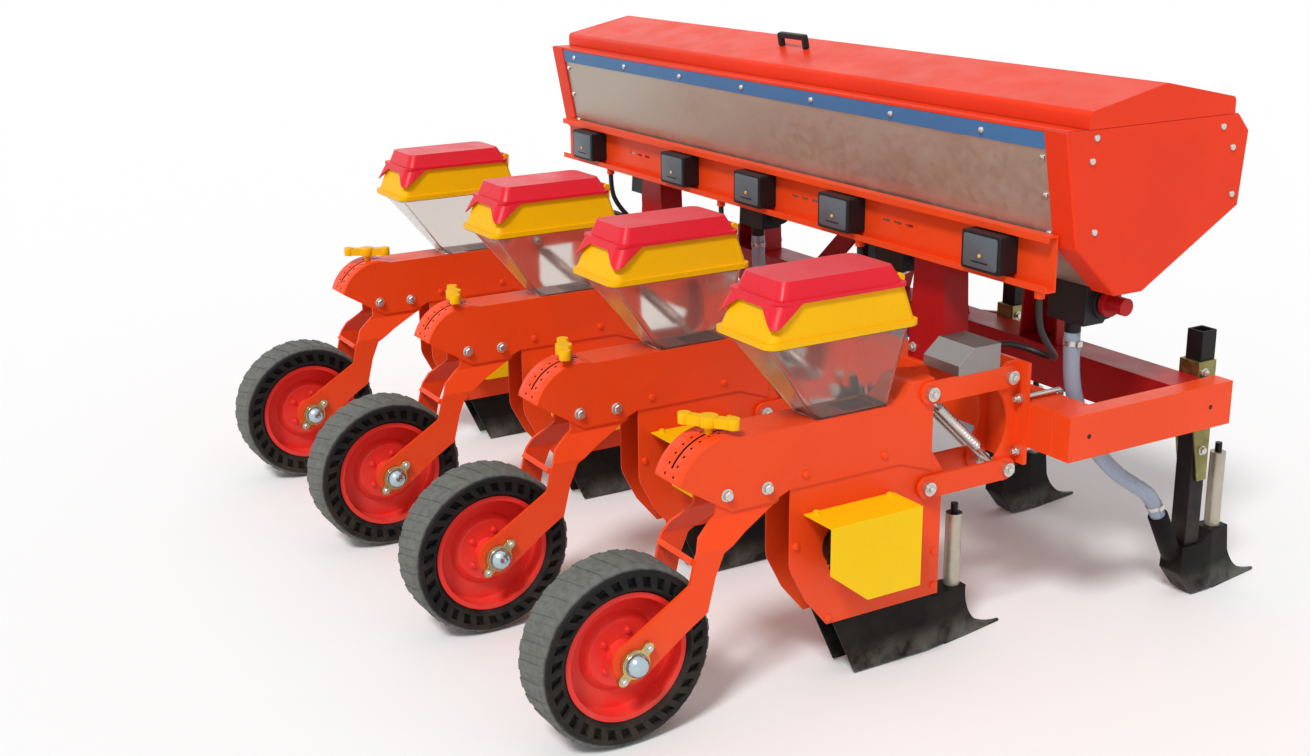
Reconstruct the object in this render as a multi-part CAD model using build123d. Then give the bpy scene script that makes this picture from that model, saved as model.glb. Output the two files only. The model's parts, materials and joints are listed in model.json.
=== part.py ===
from build123d import *
import os
from math import atan2, cos, degrees, hypot, radians, sin, tan

# Four-row precision seeder with a fertiliser hopper, for a three-point hitch.
# Millimetres. X points to the right-hand side, Y forward to the tractor, Z up.
# Lengths along Y are given from the press-wheel axle, and heights from the ground.
# The finished pieces are then moved along Y, so that the origin lies under the middle.

# Rows
ROW_COUNT = 4
ROW_SPACING = 600
ROWS = [(i - (ROW_COUNT - 1) / 2) * ROW_SPACING for i in range(ROW_COUNT)]
LAST_ROW = ROWS[-1]

# Clearances
SEAT = 0.3        # between pieces that fit into each other
SHAFT_PLAY = 0.1  # round a turning shaft
RUN = 8           # beside a turning wheel
OVERCUT = 1       # by which a cut runs past the face that it opens

# Main frame
BEAM = 100
BEAM_WALL = 6
RAIL_W = 50
FRAME_OVERHANG = 200
FRAME_Z = 490
REAR_BEAM_Y = 974
FRONT_BEAM_Y = 1320
RAIL_FRONT_Y = 1462
FRAME_HALF = LAST_ROW + FRAME_OVERHANG
FRAME_TOP = FRAME_Z + BEAM / 2
FRAME_LOW = FRAME_Z - BEAM / 2
BEAM_HALF = FRAME_HALF - RAIL_W
FRONT_BEAM_FRONT = FRONT_BEAM_Y + BEAM

# Three-point hitch
HITCH_SPREAD = 683
HITCH_PIN_R = 11
HITCH_PIN_REACH = 62
HITCH_PIN_Y = 1548
HITCH_PIN_Z = 480
HITCH_EYE_R = 33
HITCH_PLATE = 18
MAST_HEIGHT = 460
MAST_GAP = 52
MAST_PLATE = 16
MAST_PIN_R = 9.65
MAST_PIN_Y = 1500
MAST_FOOT = 90
MAST_HEAD_R = 34
STRUT_FOOT_X = 300
STRUT_DROP = 68
STRUT_W = 60
STRUT_T = 12
MAST_HALF = MAST_GAP / 2 + MAST_PLATE
MAST_PIN_Z = HITCH_PIN_Z + MAST_HEIGHT

# Press wheels
WHEEL_R = 190
TYRE_W = 108
TYRE_SHOULDER = 14
SHOULDER_R = 7
TYRE_DEPTH = 64
RIM_W = 92
RIM_LIP = 7
RIM_LIP_T = 3.5
RIM_SKIN = 4
DISH_IN = 58
DISH_SLOPE = 16
DISH_W = 44
HUB_R = 30
AXLE_R = 12.5
AXLE_TIP = 2
BEARING_T = 12
BEARING_R = 30
BEARING_EAR = 40
BEARING_EAR_R = 11
BEARING_TURN = 45
CAP_R = 25
RIM_R = WHEEL_R - TYRE_DEPTH
DISH_R = RIM_R - DISH_IN

# Press-wheel arms: edges as (y, z) from the axle, then the neck from the body's pivot
ARM_T = 8
ARM_BOSS_R = 44
ARM_HOLE_GAP = 4
ARM_FRONT_EDGE = [(28, -34), (120, 32), (168, 62), (186, 132), (206, 178), (262, 208)]
ARM_REAR_EDGE = [(158, 214), (141, 178), (128, 126), (79, 96), (-34, 28)]
NECK_AHEAD = 121
NECK_BEHIND = 26
NECK_BELOW = 40
NECK_ABOVE = 18
ARM_BEND_GAP = 10
ARM_BEND = 52
BRACE_TURN = 48
BRACE_GAP = 24
BRACE_T = 12
BRACE_W = 34
ARM_IN = TYRE_W / 2 + RUN
ARM_OUT = ARM_IN + ARM_T
BEARING_OUT = ARM_OUT + BEARING_T
AXLE_HALF = BEARING_OUT + AXLE_TIP

# Row unit: upper body
BODY_W = 96
BODY_SKIN = 4
PIVOT_Y = 231
PIVOT_Z = 478
ARC_R = 115
CROWN_TURN = 72
ARC_TURN = 91
SEAM_Z = 457
BODY_FRONT = 735
BODY_LOW = 440
CHIN_L = 84
CHIN_DROP = 12
HEEL_L = 48
HEEL_STEP = 4
TAIL_L = 6
BIN_NOTCH = 22
NOTCH_R = 24
SCALE_SLOT_W = 6
SCALE_SLOT_FROM = 80
SCALE_SLOT_TO = 150
SCALE_HOLE_R = 3
SCALE_HOLE_X = 15
SCALE_HOLE_STEP = 11
SCALE_HOLES = 8
BODY_TOP = PIVOT_Z + ARC_R * sin(radians(CROWN_TURN))

# Row unit: parallel linkage
LINK_Z_HIGH = 599
LINK_Z_LOW = 392
LINK_REAR_Y = 721
LINK_FRONT_Y = 938
LINK_W = 48
LINK_T = 8
LINK_PIN_R = 10
LINK_HEAD_R = 15
LINK_HEAD_T = 10
EAR_R = 30
EAR_BACK = 44
EAR_ROUND = 20
BODY_HALF = BODY_W / 2
BODY_IN = BODY_HALF - BODY_SKIN
LINK_IN = BODY_HALF + SEAT
LINK_OUT = LINK_IN + LINK_T

# Row unit: housing, meter and opener
HOUSING_SKIN = 4
HOUSING_REAR = 379
HOUSING_FRONT = 769
HOUSING_TOP = 480
HOUSING_LOW = 138
HOUSING_KNEE = (420, 204)
HOUSING_KNEE_TOP = 283
HOUSING_HEEL = 475
HOUSING_ROUND = 60
HOUSING_EAR = 30
FACE_LOW = 204
FACE_TOP = 350
METER_Y = 560
METER_Z = 335
METER_R = 92
METER_NECK_W = 62
METER_NECK_L = 80
OPENER_TOP = 190
OPENER_SILL = 5
OPENER_LIFT = 0.5
OPENER_REAR = 554
OPENER_HEEL = 84
OPENER_FRONT = 868
OPENER_STEP = 126
OPENER_TOE = 990
OPENER_SKIN = 6
OPENER_LAP = 8
OPENER_WEB = 30
NOSE_BACK = 60
NOSE_TAPER = 120
NOSE_SAG = (24, 44)
NOSE_HALF = 24
TOE_HALF = 4
TOE_LIP = 4
SLEEVE_Y = 846
SLEEVE_R = 18
SLEEVE_H = 167
SLEEVE_PIN_R = 8
SLEEVE_PIN_H = 22
HOUSING_OUT = BODY_IN - SEAT
HOUSING_IN = HOUSING_OUT - HOUSING_SKIN
OPENER_HALF = HOUSING_IN - SEAT

# Row unit: chain guard and drive
GUARD_X = 138
GUARD_SKIN = 3
GUARD_REAR = 412
GUARD_FRONT = 641
GUARD_TOP = 396
GUARD_LOW = 222
GUARD_CUT_L = 94
GUARD_CUT_H = 73
DRIVE_Y = 505
DRIVE_Z = 312
DRIVE_CAN_R = 46
DRIVE_CAN_W = 37
DRIVE_GEAR_R = 58
DRIVE_GEAR_W = 9
DRIVE_BOSS_R = 18
DRIVE_BOSS_W = 16

# Row unit: depth handle, turned as each row was set
HANDLE_AT = 98
HANDLE_STEM_R = 8
HANDLE_STEM_H = 14
HANDLE_HUB_R = 19
HANDLE_HUB_H = 22
HANDLE_L = 128
HANDLE_T = 20
HANDLE_TIP_R = 13
HANDLE_TURNS = [60, -20, -25, 35]

# Seed bin, collar and lid
BIN_WALL = 3
BIN_TOP_W = 168
BIN_BASE_W = 86
BIN_BASE_REAR = 440
BIN_BASE_FRONT = 624
BIN_ROUND = 14
CHUTE_LEDGE = 20
COLLAR_W = 190
COLLAR_TOP_W = 166
COLLAR_REAR = 290
COLLAR_FRONT = 650
COLLAR_TOP_REAR = 322
COLLAR_TOP_FRONT = 628
COLLAR_Z = 765
COLLAR_TOP = 846
COLLAR_WALL = 4
COLLAR_ROUND = 20
COLLAR_RIM = 12
COLLAR_RIM_T = 4
LID_H = 40
LID_WALL = 3
LID_TOP_IN = 13
LID_TOP_REAR = 14
LID_TOP_FRONT = 22
LID_GAP = 0.5
LID_BRIM = 7
LID_EAR_X = 41
LID_EAR_W = 10
LID_EAR_H = 40
LID_EAR_FOOT = 4
LID_PIN_R = 4
LID_KNUCKLE_R = 8
LID_HINGE_GAP = 2
KNUCKLE_PLAY = 1
KNUCKLE_LAP = 12
FLAP_H = 46
FLAP_GAP = 5
FLAP_FLARE = 5
FLAP_SIDE = 52
FLAP_TIP = 10
FLAP_LIP = 12
FLAP_MIDDLE = 40

# Fertiliser hopper
TROUGH_OVERHANG = 189
TROUGH_WALL = 3
HOPPER_TOP = 1132
HOPPER_REAR = 926
REAR_KNEE = (970, 895)
TROUGH_LOW = 787
LOW_REAR = 1085
LOW_FRONT = 1161
FRONT_KNEE = (1426, 938)
FRONT_EDGE = (1440, 1092)
SHOULDER_FRONT = 1404
MOUTH_REAR = 995
MOUTH_FRONT = 1386
CAP_SKIN = 5
CAP_WRAP = 66
CAP_CHAMFER = 4
STRIP_W = 36
STRIP_T = 2.5
STRIP_DROP = 6
COVER_REAR = 981
COVER_FRONT = 1396
COVER_SKIRT = 35
COVER_RIDGE = 209
COVER_RIDGE_H = 78
COVER_WALL = 2.5
COVER_EAVE_R = 12
COVER_HINGE_Y = 1410
COVER_HINGE_RISE = 9
COVER_HINGE_IN = 329
COVER_PIN_R = 4
COVER_KNUCKLE_R = 8
COVER_KNUCKLE_W = 60
COVER_LEAF = 3
HINGE_EAR_W = 20
HINGE_FOOT_IN = 6
HINGE_FOOT_OUT = 22
GRIP_X = -90
GRIP_UP = 130
GRIP_W = 120
GRIP_H = 38
GRIP_T = 14
GRIP_ROUND = 8
POST_X = 620
POST_FOOT_W = 130
POST_HEAD_W = 84
POST_MARGIN = 14
POST_WALL = 6
ARM_PLATE_LOW = 6
ARM_PLATE_H = 60
TROUGH_HALF = LAST_ROW + TROUGH_OVERHANG
COVER_RIDGE_Y = COVER_REAR + COVER_RIDGE

# Monitor bar
GLAND_SHIFT = 120
BAR_END = 30
BAR_REAR = 930
BAR_FRONT = 958
BAR_LOW = 799
BAR_H = 118
BAR_T = 4
BAR_LIP = 14
BAR_SLOT_X = [-625, 185, 545]
BAR_SLOT_L = 26
BAR_SLOT_W = 7
BAR_SLOT_STEP = 42
BOX_W = 120
BOX_H = 84
BOX_D = 50
BOX_ROUND = 6
BOX_X = [-880, -365, 0, 365, 880]
BAR_HALF = LAST_ROW + GLAND_SHIFT + BAR_END
BAR_TOP = BAR_LOW + BAR_H
BAR_MIDDLE_Y = (BAR_REAR + BAR_FRONT) / 2

# Fertiliser meters, hoses and openers
FERT_SHIFT = 110
METER_SHIFT = 60
FERT_METER_W = 110
FERT_METER_LOW = 700
FERT_METER_CHIN = 30
FERT_METER_LIP = 6
FERT_DISC_R = 38
FERT_DISC_T = 8
SPOUT_Y = 1104
SPOUT_R = 18
SPOUT_H = 26
SHAFT_Y = 1136
SHAFT_Z = 748
SHAFT_R = 19
SHAFT_SHORT = 11
SPROCKET_R = 30
SPROCKET_W = 10
SPROCKET_IN = 52
SHANK = 45
SHANK_WALL = 5
SHANK_TOP = 640
BRACKET_T = 6
BRACKET_BACK = 10
BRACKET_TOP = 572
BRACKET_DROP = 20
BRACKET_TIP = 285
BRACKET_TIP_W = 30
BOOT_TOP = 128
BOOT_REAR = 1412
BOOT_HEEL = (46, 64)
BOOT_STEP = 152
BOOT_LEDGE = 62
BOOT_FRONT = 1572
BOOT_TOE = 1702
BOOT_HALF = 31
BOOT_SILL = 6
BOOT_NOSE_BACK = 40
BOOT_TAPER = 60
BOOT_NOSE_HALF = 22
BOOT_SAG = (30, 54)
BOOT_LEAN = 20
FERT_SLEEVE_Y = 1543
FERT_SLEEVE_H = 180
SOCKET_R = 23
SOCKET_END = (1358, 214)
SOCKET_ROOT = (1414, 104)
HOSE_R = 18
BEND_SHARE = 0.45
FERT_X = [row + FERT_SHIFT for row in ROWS]
METER_X = [row + METER_SHIFT for row in ROWS]
SHAFT_HALF = TROUGH_HALF - SHAFT_SHORT
SHANK_REAR = FRONT_BEAM_FRONT + BRACKET_BACK + SEAT
SHANK_FRONT = SHANK_REAR + SHANK

# Linkage head, its clamps, the springs and the controller
HEAD_PLATE = 10
HEAD_EDGE = 17
HEAD_LOW = 40
HEAD_CHEEK = 8
HEAD_WAIST = 22
HEAD_NOTCH = 6
HEAD_CORNER = (10, 8)
HEAD_FOOT = 20
CLAMP_GAP = 2
CLAMP_R = 6
CLAMP_RISE = 3
CLAMP_BEND = 9
CLAMP_TAIL = 20
CLAMP_NUT_R = 11
CLAMP_NUT_T = 9
SPRING_X = 18
SPRING_R = 11
SPRING_ROD_R = 4
SPRING_EYE_R = 15
SPRING_EYE_RIM = 1
SPRING_TOP_GAP = 70
SPRING_LOW_GAP = 75
CTRL_REAR = 792
CTRL_FRONT = 905
CTRL_H = 56
CTRL_BACK_H = 22
CTRL_SLOPE = 40
CTRL_SKIN = 3
CABLE_R = 7
GLAND_R = 11
GLAND_H = 16
GLAND_RISE = 33.6
CLAMP_X = BODY_HALF + CLAMP_GAP + CLAMP_NUT_R
HEAD_HALF = CLAMP_X + HEAD_EDGE

# The whole machine reaches from the back of the press wheels to the opener toes
AXLE_Y = (WHEEL_R - BOOT_TOE) / 2


def block(x0, x1, y0, y1, z0, z1):
    middle = Pos((x0 + x1) / 2, (y0 + y1) / 2, (z0 + z1) / 2)
    return middle * Box(x1 - x0, y1 - y0, z1 - z0)


def outline(*points):
    return Polygon(*points, align=None)


def disc(y, z, radius):
    return Pos(y, z) * Circle(radius)


def strap(start, end, width):
    length = hypot(end[0] - start[0], end[1] - start[1])
    turn = degrees(atan2(end[1] - start[1], end[0] - start[0]))
    middle = Pos((start[0] + end[0]) / 2, (start[1] + end[1]) / 2)
    return middle * Rot(0, 0, turn) * SlotCenterToCenter(length, width)


def side(sketch, x0, x1):
    """A side view, drawn as (y, z), made solid from x0 to x1."""
    return extrude(Plane.YZ.offset(x0) * sketch, amount=x1 - x0, dir=(1, 0, 0))


def front(sketch, y0, y1):
    """A front view, drawn as (x, z), made solid from y0 to y1."""
    return extrude(Plane.XZ.offset(-y0) * sketch, amount=y1 - y0, dir=(0, 1, 0))


def plan(sketch, z0, z1):
    """A plan, drawn as (x, y), made solid from z0 to z1."""
    return extrude(Plane.XY.offset(z0) * sketch, amount=z1 - z0, dir=(0, 0, 1))


def rod(start, end, radius):
    start, end = Vector(*start), Vector(*end)
    return extrude(Plane(origin=start, z_dir=end - start) * Circle(radius), amount=(end - start).length)


def rounded(sketch, corners, radius):
    """The sketch with a fillet at the vertex nearest to each of the corners."""
    chosen = [min(sketch.vertices(), key=lambda v: hypot(v.X - y, v.Y - z)) for y, z in corners]
    return fillet(chosen, radius)


def frustum(low, high, z0, z1, corner):
    """A tapered block between two rounded rectangles, each given as (width, rear y, front y)."""
    sections = []
    for (width, rear, ahead), z in ((low, z0), (high, z1)):
        sections.append(Pos(0, (rear + ahead) / 2, z) * RectangleRounded(width, ahead - rear, corner))
    return loft(sections, ruled=True)


def inset(section, wall):
    width, rear, ahead = section
    return width - 2 * wall, rear + wall, ahead - wall


def in_rows(piece, places=None):
    return [Pos(x, 0, 0) * piece for x in (places or ROWS)]


def both_sides(piece):
    return [piece, mirror(piece, Plane.YZ)]


def write(node, pieces):
    solids = [Pos(0, AXLE_Y, 0) * solid for piece in pieces for solid in piece.solids()]
    export_step(Compound(solids), os.path.join("parts", node + ".step"))


# Main frame

def beam(rear):
    tube = block(-BEAM_HALF, BEAM_HALF, rear, rear + BEAM, FRAME_LOW, FRAME_TOP)
    return tube - block(-BEAM_HALF, BEAM_HALF, rear + BEAM_WALL, rear + BEAM - BEAM_WALL,
                        FRAME_LOW + BEAM_WALL, FRAME_TOP - BEAM_WALL)


def side_rail():
    return block(BEAM_HALF, FRAME_HALF, REAR_BEAM_Y, RAIL_FRONT_Y, FRAME_LOW, FRAME_TOP)


def hitch_mast():
    foot_front = FRONT_BEAM_FRONT - BEAM / 2 + MAST_FOOT / 2
    foot = outline((foot_front - MAST_FOOT, FRAME_TOP), (foot_front, FRAME_TOP),
                   (MAST_PIN_Y + MAST_HEAD_R, MAST_PIN_Z), (MAST_PIN_Y - MAST_HEAD_R, MAST_PIN_Z))
    cheek = foot + disc(MAST_PIN_Y, MAST_PIN_Z, MAST_HEAD_R) - disc(MAST_PIN_Y, MAST_PIN_Z, MAST_PIN_R)
    cheeks = both_sides(side(cheek, MAST_GAP / 2, MAST_HALF))
    base = block(-MAST_HALF, MAST_HALF, foot_front - MAST_FOOT, foot_front, FRAME_TOP, FRAME_TOP + MAST_PLATE)
    return cheeks[0] + cheeks[1] + base


def hitch_struts():
    foot = Vector(STRUT_FOOT_X, FRONT_BEAM_FRONT - BEAM / 2, FRAME_TOP)
    head = Vector(MAST_HALF, MAST_PIN_Y - MAST_HEAD_R / 2, MAST_PIN_Z - STRUT_DROP)
    along = (head - foot).normalized()
    start = foot - along * STRUT_W
    run = Plane(origin=start, x_dir=Vector(0, 1, 0), z_dir=along)
    strut = extrude(run * Rectangle(STRUT_T, STRUT_W), amount=(head - start).length + STRUT_W, dir=along)
    strut &= block(MAST_HALF, FRAME_HALF, 0, 2 * MAST_PIN_Y, FRAME_TOP, MAST_PIN_Z)
    return both_sides(strut)


def hitch_lower_plate():
    inner = HITCH_SPREAD / 2 - HITCH_PLATE
    shape = outline((FRONT_BEAM_FRONT, FRAME_LOW), (HITCH_PIN_Y, HITCH_PIN_Z - HITCH_EYE_R),
                    (HITCH_PIN_Y, HITCH_PIN_Z + HITCH_EYE_R), (FRONT_BEAM_FRONT, FRAME_TOP))
    shape += disc(HITCH_PIN_Y, HITCH_PIN_Z, HITCH_EYE_R)
    return side(shape, inner, HITCH_SPREAD / 2)


def hitch_pin():
    shoulder = HITCH_SPREAD / 2
    return side(disc(HITCH_PIN_Y, HITCH_PIN_Z, HITCH_PIN_R), shoulder, shoulder + HITCH_PIN_REACH)


# Press wheels

def at_axle(piece):
    return Pos(0, 0, WHEEL_R) * piece


def tyre():
    half = TYRE_W / 2
    bead = RIM_W / 2 - RIM_LIP_T - SEAT
    seat = RIM_R + SEAT
    lip = RIM_R + RIM_LIP + SEAT
    right = [(bead, seat), (bead, lip), (half, lip + RIM_LIP), (half, WHEEL_R - TYRE_SHOULDER),
             (half - TYRE_SHOULDER, WHEEL_R)]
    section = outline(*right, *[(-x, r) for x, r in reversed(right)])
    section = rounded(section, [(s * half, WHEEL_R - TYRE_SHOULDER) for s in (-1, 1)], SHOULDER_R)
    return at_axle(revolve(section, Axis.X))


def rim():
    half = RIM_W / 2
    lip = RIM_R + RIM_LIP
    bed = RIM_R - RIM_SKIN
    dish = DISH_W / 2
    right = [(half, 0), (half, HUB_R), (dish, HUB_R), (dish, DISH_R), (RIM_SKIN, DISH_R + DISH_SLOPE),
             (RIM_SKIN, bed), (half, bed), (half, lip), (half - RIM_LIP_T, lip), (half - RIM_LIP_T, RIM_R)]
    wheel = revolve(outline(*right, *[(-x, r) for x, r in reversed(right)]), Axis.X)
    axle = extrude(Plane.YZ.offset(-AXLE_HALF) * Circle(AXLE_R), amount=2 * AXLE_HALF)
    return at_axle(wheel + axle)


def wheel_fork():
    """Two arms, bent from inside the body to outside the tyre, and the brace that joins them."""
    edges = [[(y, WHEEL_R + z) for y, z in edge] for edge in (ARM_FRONT_EDGE, ARM_REAR_EDGE)]
    neck_low = PIVOT_Z - NECK_BELOW
    neck_top = PIVOT_Z + NECK_ABOVE
    neck = [(PIVOT_Y + NECK_AHEAD, neck_low), (PIVOT_Y + NECK_AHEAD, neck_top),
            (PIVOT_Y - NECK_BEHIND, neck_top), (PIVOT_Y - NECK_BEHIND, neck_low)]
    arm = disc(0, WHEEL_R, ARM_BOSS_R) + outline(*edges[0], *neck, *edges[1])
    arm -= disc(0, WHEEL_R, AXLE_R + ARM_HOLE_GAP)
    bend_high = BODY_LOW - ARM_BEND_GAP
    bend_low = bend_high - ARM_BEND
    neck_out = BODY_IN - SEAT
    neck_in = neck_out - ARM_T
    sheet = outline((ARM_IN, 0), (ARM_OUT, 0), (ARM_OUT, bend_low), (neck_out, bend_high),
                    (neck_out, BODY_TOP), (neck_in, BODY_TOP), (neck_in, bend_high), (ARM_IN, bend_low))
    blade = side(arm, 0, ARM_OUT + OVERCUT) & front(sheet, -WHEEL_R, BODY_FRONT)
    arms = both_sides(blade)
    away = WHEEL_R + BRACE_GAP + BRACE_T / 2
    centre = Pos(away * cos(radians(BRACE_TURN)), WHEEL_R + away * sin(radians(BRACE_TURN)))
    brace = side(centre * Rot(0, 0, BRACE_TURN) * Rectangle(BRACE_T, BRACE_W), -ARM_IN, ARM_IN)
    return arms[0] + arms[1] + brace


def hub_bearing():
    reach = (BEARING_EAR * cos(radians(BEARING_TURN)), BEARING_EAR * sin(radians(BEARING_TURN)))
    flange = disc(0, WHEEL_R, BEARING_R)
    flange += strap((-reach[0], WHEEL_R - reach[1]), (reach[0], WHEEL_R + reach[1]), 2 * BEARING_EAR_R)
    housing = side(flange, ARM_OUT, BEARING_OUT)
    dome = Pos(BEARING_OUT, 0, WHEEL_R) * Sphere(CAP_R)
    dome &= block(BEARING_OUT, BEARING_OUT + CAP_R, -CAP_R, CAP_R, WHEEL_R - CAP_R, WHEEL_R + CAP_R)
    bore = side(disc(0, WHEEL_R, AXLE_R + SHAFT_PLAY), ARM_OUT, AXLE_HALF + OVERCUT)
    return housing + dome - bore


# Row unit: upper body

def body_outline(skin=0.0):
    """The side view of the body, or of its inside when it is drawn in by the skin."""
    scale = CenterArc((PIVOT_Y, PIVOT_Z), ARC_R - skin, CROWN_TURN, ARC_TURN)
    crown, tail = scale @ 0, scale @ 1
    top = BODY_TOP - skin
    ear_top = LINK_Z_HIGH + EAR_R - skin
    ear_rear = LINK_REAR_Y - EAR_BACK + skin
    notch = BIN_BASE_FRONT + BIN_NOTCH + skin
    ahead = BODY_FRONT - skin
    seam = SEAM_Z + skin
    low = BODY_LOW + skin
    rest = Polyline(crown, (notch, top), (ear_rear, ear_top), (ahead, ear_top), (ahead, low - CHIN_DROP),
                    (ahead - CHIN_L, seam), (HOUSING_REAR - HEEL_STEP, seam), (HOUSING_REAR - HEEL_L, low),
                    (PIVOT_Y + TAIL_L, low), tail)
    face = make_face(scale.edges() + rest.edges())
    face = rounded(face, [(ear_rear, ear_top)], EAR_ROUND)
    return rounded(face, [(notch, top)], NOTCH_R)


def on_scale(turn, radius):
    """A point of the depth scale's arc, as (y, z)."""
    return PIVOT_Y + radius * cos(radians(turn)), PIVOT_Z + radius * sin(radians(turn))


def scale_cuts():
    """The slot along the arc, and a row of adjusting holes on each side of it."""
    ring = disc(PIVOT_Y, PIVOT_Z, ARC_R + OVERCUT) - disc(PIVOT_Y, PIVOT_Z, ARC_R - 2 * BODY_SKIN)
    reach = 2 * ARC_R
    ring &= outline((PIVOT_Y, PIVOT_Z), on_scale(SCALE_SLOT_FROM, reach), on_scale(SCALE_SLOT_TO, reach))
    cuts = side(ring, -SCALE_SLOT_W / 2, SCALE_SLOT_W / 2)
    for number in range(SCALE_HOLES):
        turn = SCALE_SLOT_FROM + number * SCALE_HOLE_STEP
        for x in (-SCALE_HOLE_X, SCALE_HOLE_X):
            cuts += rod((x, *on_scale(turn, ARC_R - 2 * BODY_SKIN)), (x, *on_scale(turn, ARC_R + OVERCUT)),
                        SCALE_HOLE_R)
    return cuts


def unit_body():
    inside = body_outline(BODY_SKIN)
    shell = side(body_outline(), -BODY_HALF, BODY_HALF)
    for ahead, drop in ((0, 0), (0, 4), (0, 10), (4, 1)):
        shell -= side(Pos(ahead * BODY_SKIN, -drop * BODY_SKIN) * inside, -BODY_IN, BODY_IN)
    shell -= block(-BODY_IN, BODY_IN, HOUSING_REAR - BODY_SKIN, BODY_FRONT, 0, HOUSING_TOP + BODY_SKIN)
    chute_half = BIN_BASE_W / 2 - OVERCUT
    chute = block(-chute_half, chute_half, BIN_BASE_REAR + CHUTE_LEDGE, BIN_BASE_FRONT - CHUTE_LEDGE,
                  SEAM_Z, BODY_TOP + BODY_SKIN)
    pins = side(disc(LINK_REAR_Y, LINK_Z_HIGH, LINK_PIN_R + SEAT), -BODY_W, BODY_W)
    return shell - chute - scale_cuts() - pins


def meter_housing():
    plate = outline((HOUSING_REAR, HOUSING_TOP), (HOUSING_REAR, HOUSING_KNEE_TOP), HOUSING_KNEE,
                    (HOUSING_HEEL, HOUSING_LOW), (HOUSING_FRONT, HOUSING_LOW),
                    (HOUSING_FRONT, LINK_Z_LOW + HOUSING_EAR), (BODY_FRONT - BODY_SKIN, HOUSING_TOP))
    plate = rounded(plate, [(HOUSING_REAR, HOUSING_KNEE_TOP)], HOUSING_ROUND)
    plate -= disc(LINK_REAR_Y, LINK_Z_LOW, LINK_PIN_R + SEAT)
    plates = both_sides(side(plate, HOUSING_IN, HOUSING_OUT))
    face = block(-HOUSING_IN, HOUSING_IN, HOUSING_FRONT - HOUSING_SKIN, HOUSING_FRONT, FACE_LOW, FACE_TOP)
    return plates[0] + plates[1] + face


def seed_meter():
    case = side(disc(METER_Y, METER_Z, METER_R), -HOUSING_IN, HOUSING_IN)
    neck = block(-METER_NECK_W / 2, METER_NECK_W / 2, METER_Y - METER_NECK_L / 2, METER_Y + METER_NECK_L / 2,
                 METER_Z, BODY_TOP)
    return case + neck


def nose(curve, toe, back, lift, half, taper):
    """A pointed nose: its curved front edge, its sole and the taper towards its toe."""
    sole = Polyline(curve @ 1, (toe - TOE_LIP, lift), (back, lift), (back, (curve @ 0).Y), curve @ 0)
    solid = side(make_face(curve.edges() + sole.edges()), -half, half)
    return solid & taper


def seed_opener():
    ahead = HOUSING_FRONT - OPENER_LAP
    shoe = outline((OPENER_REAR - OPENER_HEEL, OPENER_TOP), (OPENER_REAR, OPENER_SILL),
                   (OPENER_FRONT - NOSE_BACK, OPENER_SILL), (OPENER_FRONT - NOSE_BACK, OPENER_STEP),
                   (ahead, OPENER_STEP), (ahead, OPENER_TOP))
    shell = side(shoe, -OPENER_HALF, OPENER_HALF)
    inside = OPENER_HALF - OPENER_SKIN
    shell -= block(-inside, inside, 0, ahead - OPENER_WEB, 0, OPENER_TOP - OPENER_SKIN)
    curve = ThreePointArc((OPENER_FRONT, OPENER_STEP), (OPENER_FRONT + NOSE_SAG[0], NOSE_SAG[1]),
                          (OPENER_TOE, OPENER_SILL))
    taper = plan(outline((-OPENER_HALF, OPENER_FRONT - NOSE_TAPER), (OPENER_HALF, OPENER_FRONT - NOSE_TAPER),
                         (NOSE_HALF, OPENER_FRONT), (TOE_HALF, OPENER_TOE), (-TOE_HALF, OPENER_TOE),
                         (-NOSE_HALF, OPENER_FRONT)), 0, OPENER_TOP)
    room = taper + block(-OPENER_HALF, OPENER_HALF, 0, OPENER_FRONT - NOSE_TAPER, 0, OPENER_TOP)
    tip = nose(curve, OPENER_TOE, OPENER_FRONT - NOSE_BACK, OPENER_LIFT, OPENER_HALF, taper)
    return (shell & room) + tip


def sleeve(y, z, height):
    tube = Pos(0, y, z + height / 2) * Cylinder(SLEEVE_R, height)
    nipple = Pos(0, y, z + height + SLEEVE_PIN_H / 2) * Cylinder(SLEEVE_PIN_R, SLEEVE_PIN_H)
    return tube + nipple


def chain_guard():
    shape = outline((GUARD_REAR, GUARD_TOP), (GUARD_FRONT, GUARD_TOP), (GUARD_FRONT, GUARD_LOW),
                    (GUARD_REAR + GUARD_CUT_L, GUARD_LOW), (GUARD_REAR, GUARD_LOW + GUARD_CUT_H))
    inside = offset(shape, -GUARD_SKIN, kind=Kind.INTERSECTION)
    cover = side(shape, HOUSING_OUT, GUARD_X)
    for back, drop in ((0, 0), (2, 0), (0, 2), (2, 2)):
        cover -= side(Pos(-back * GUARD_SKIN, -drop * GUARD_SKIN) * inside, HOUSING_OUT, GUARD_X - GUARD_SKIN)
    return cover


def drive_motor():
    gear = HOUSING_OUT + DRIVE_CAN_W
    boss = gear + DRIVE_GEAR_W
    motor = side(disc(DRIVE_Y, DRIVE_Z, DRIVE_CAN_R), HOUSING_OUT, gear)
    motor += side(disc(DRIVE_Y, DRIVE_Z, DRIVE_GEAR_R), gear, boss)
    return motor + side(disc(DRIVE_Y, DRIVE_Z, DRIVE_BOSS_R), boss, boss + DRIVE_BOSS_W)


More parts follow.
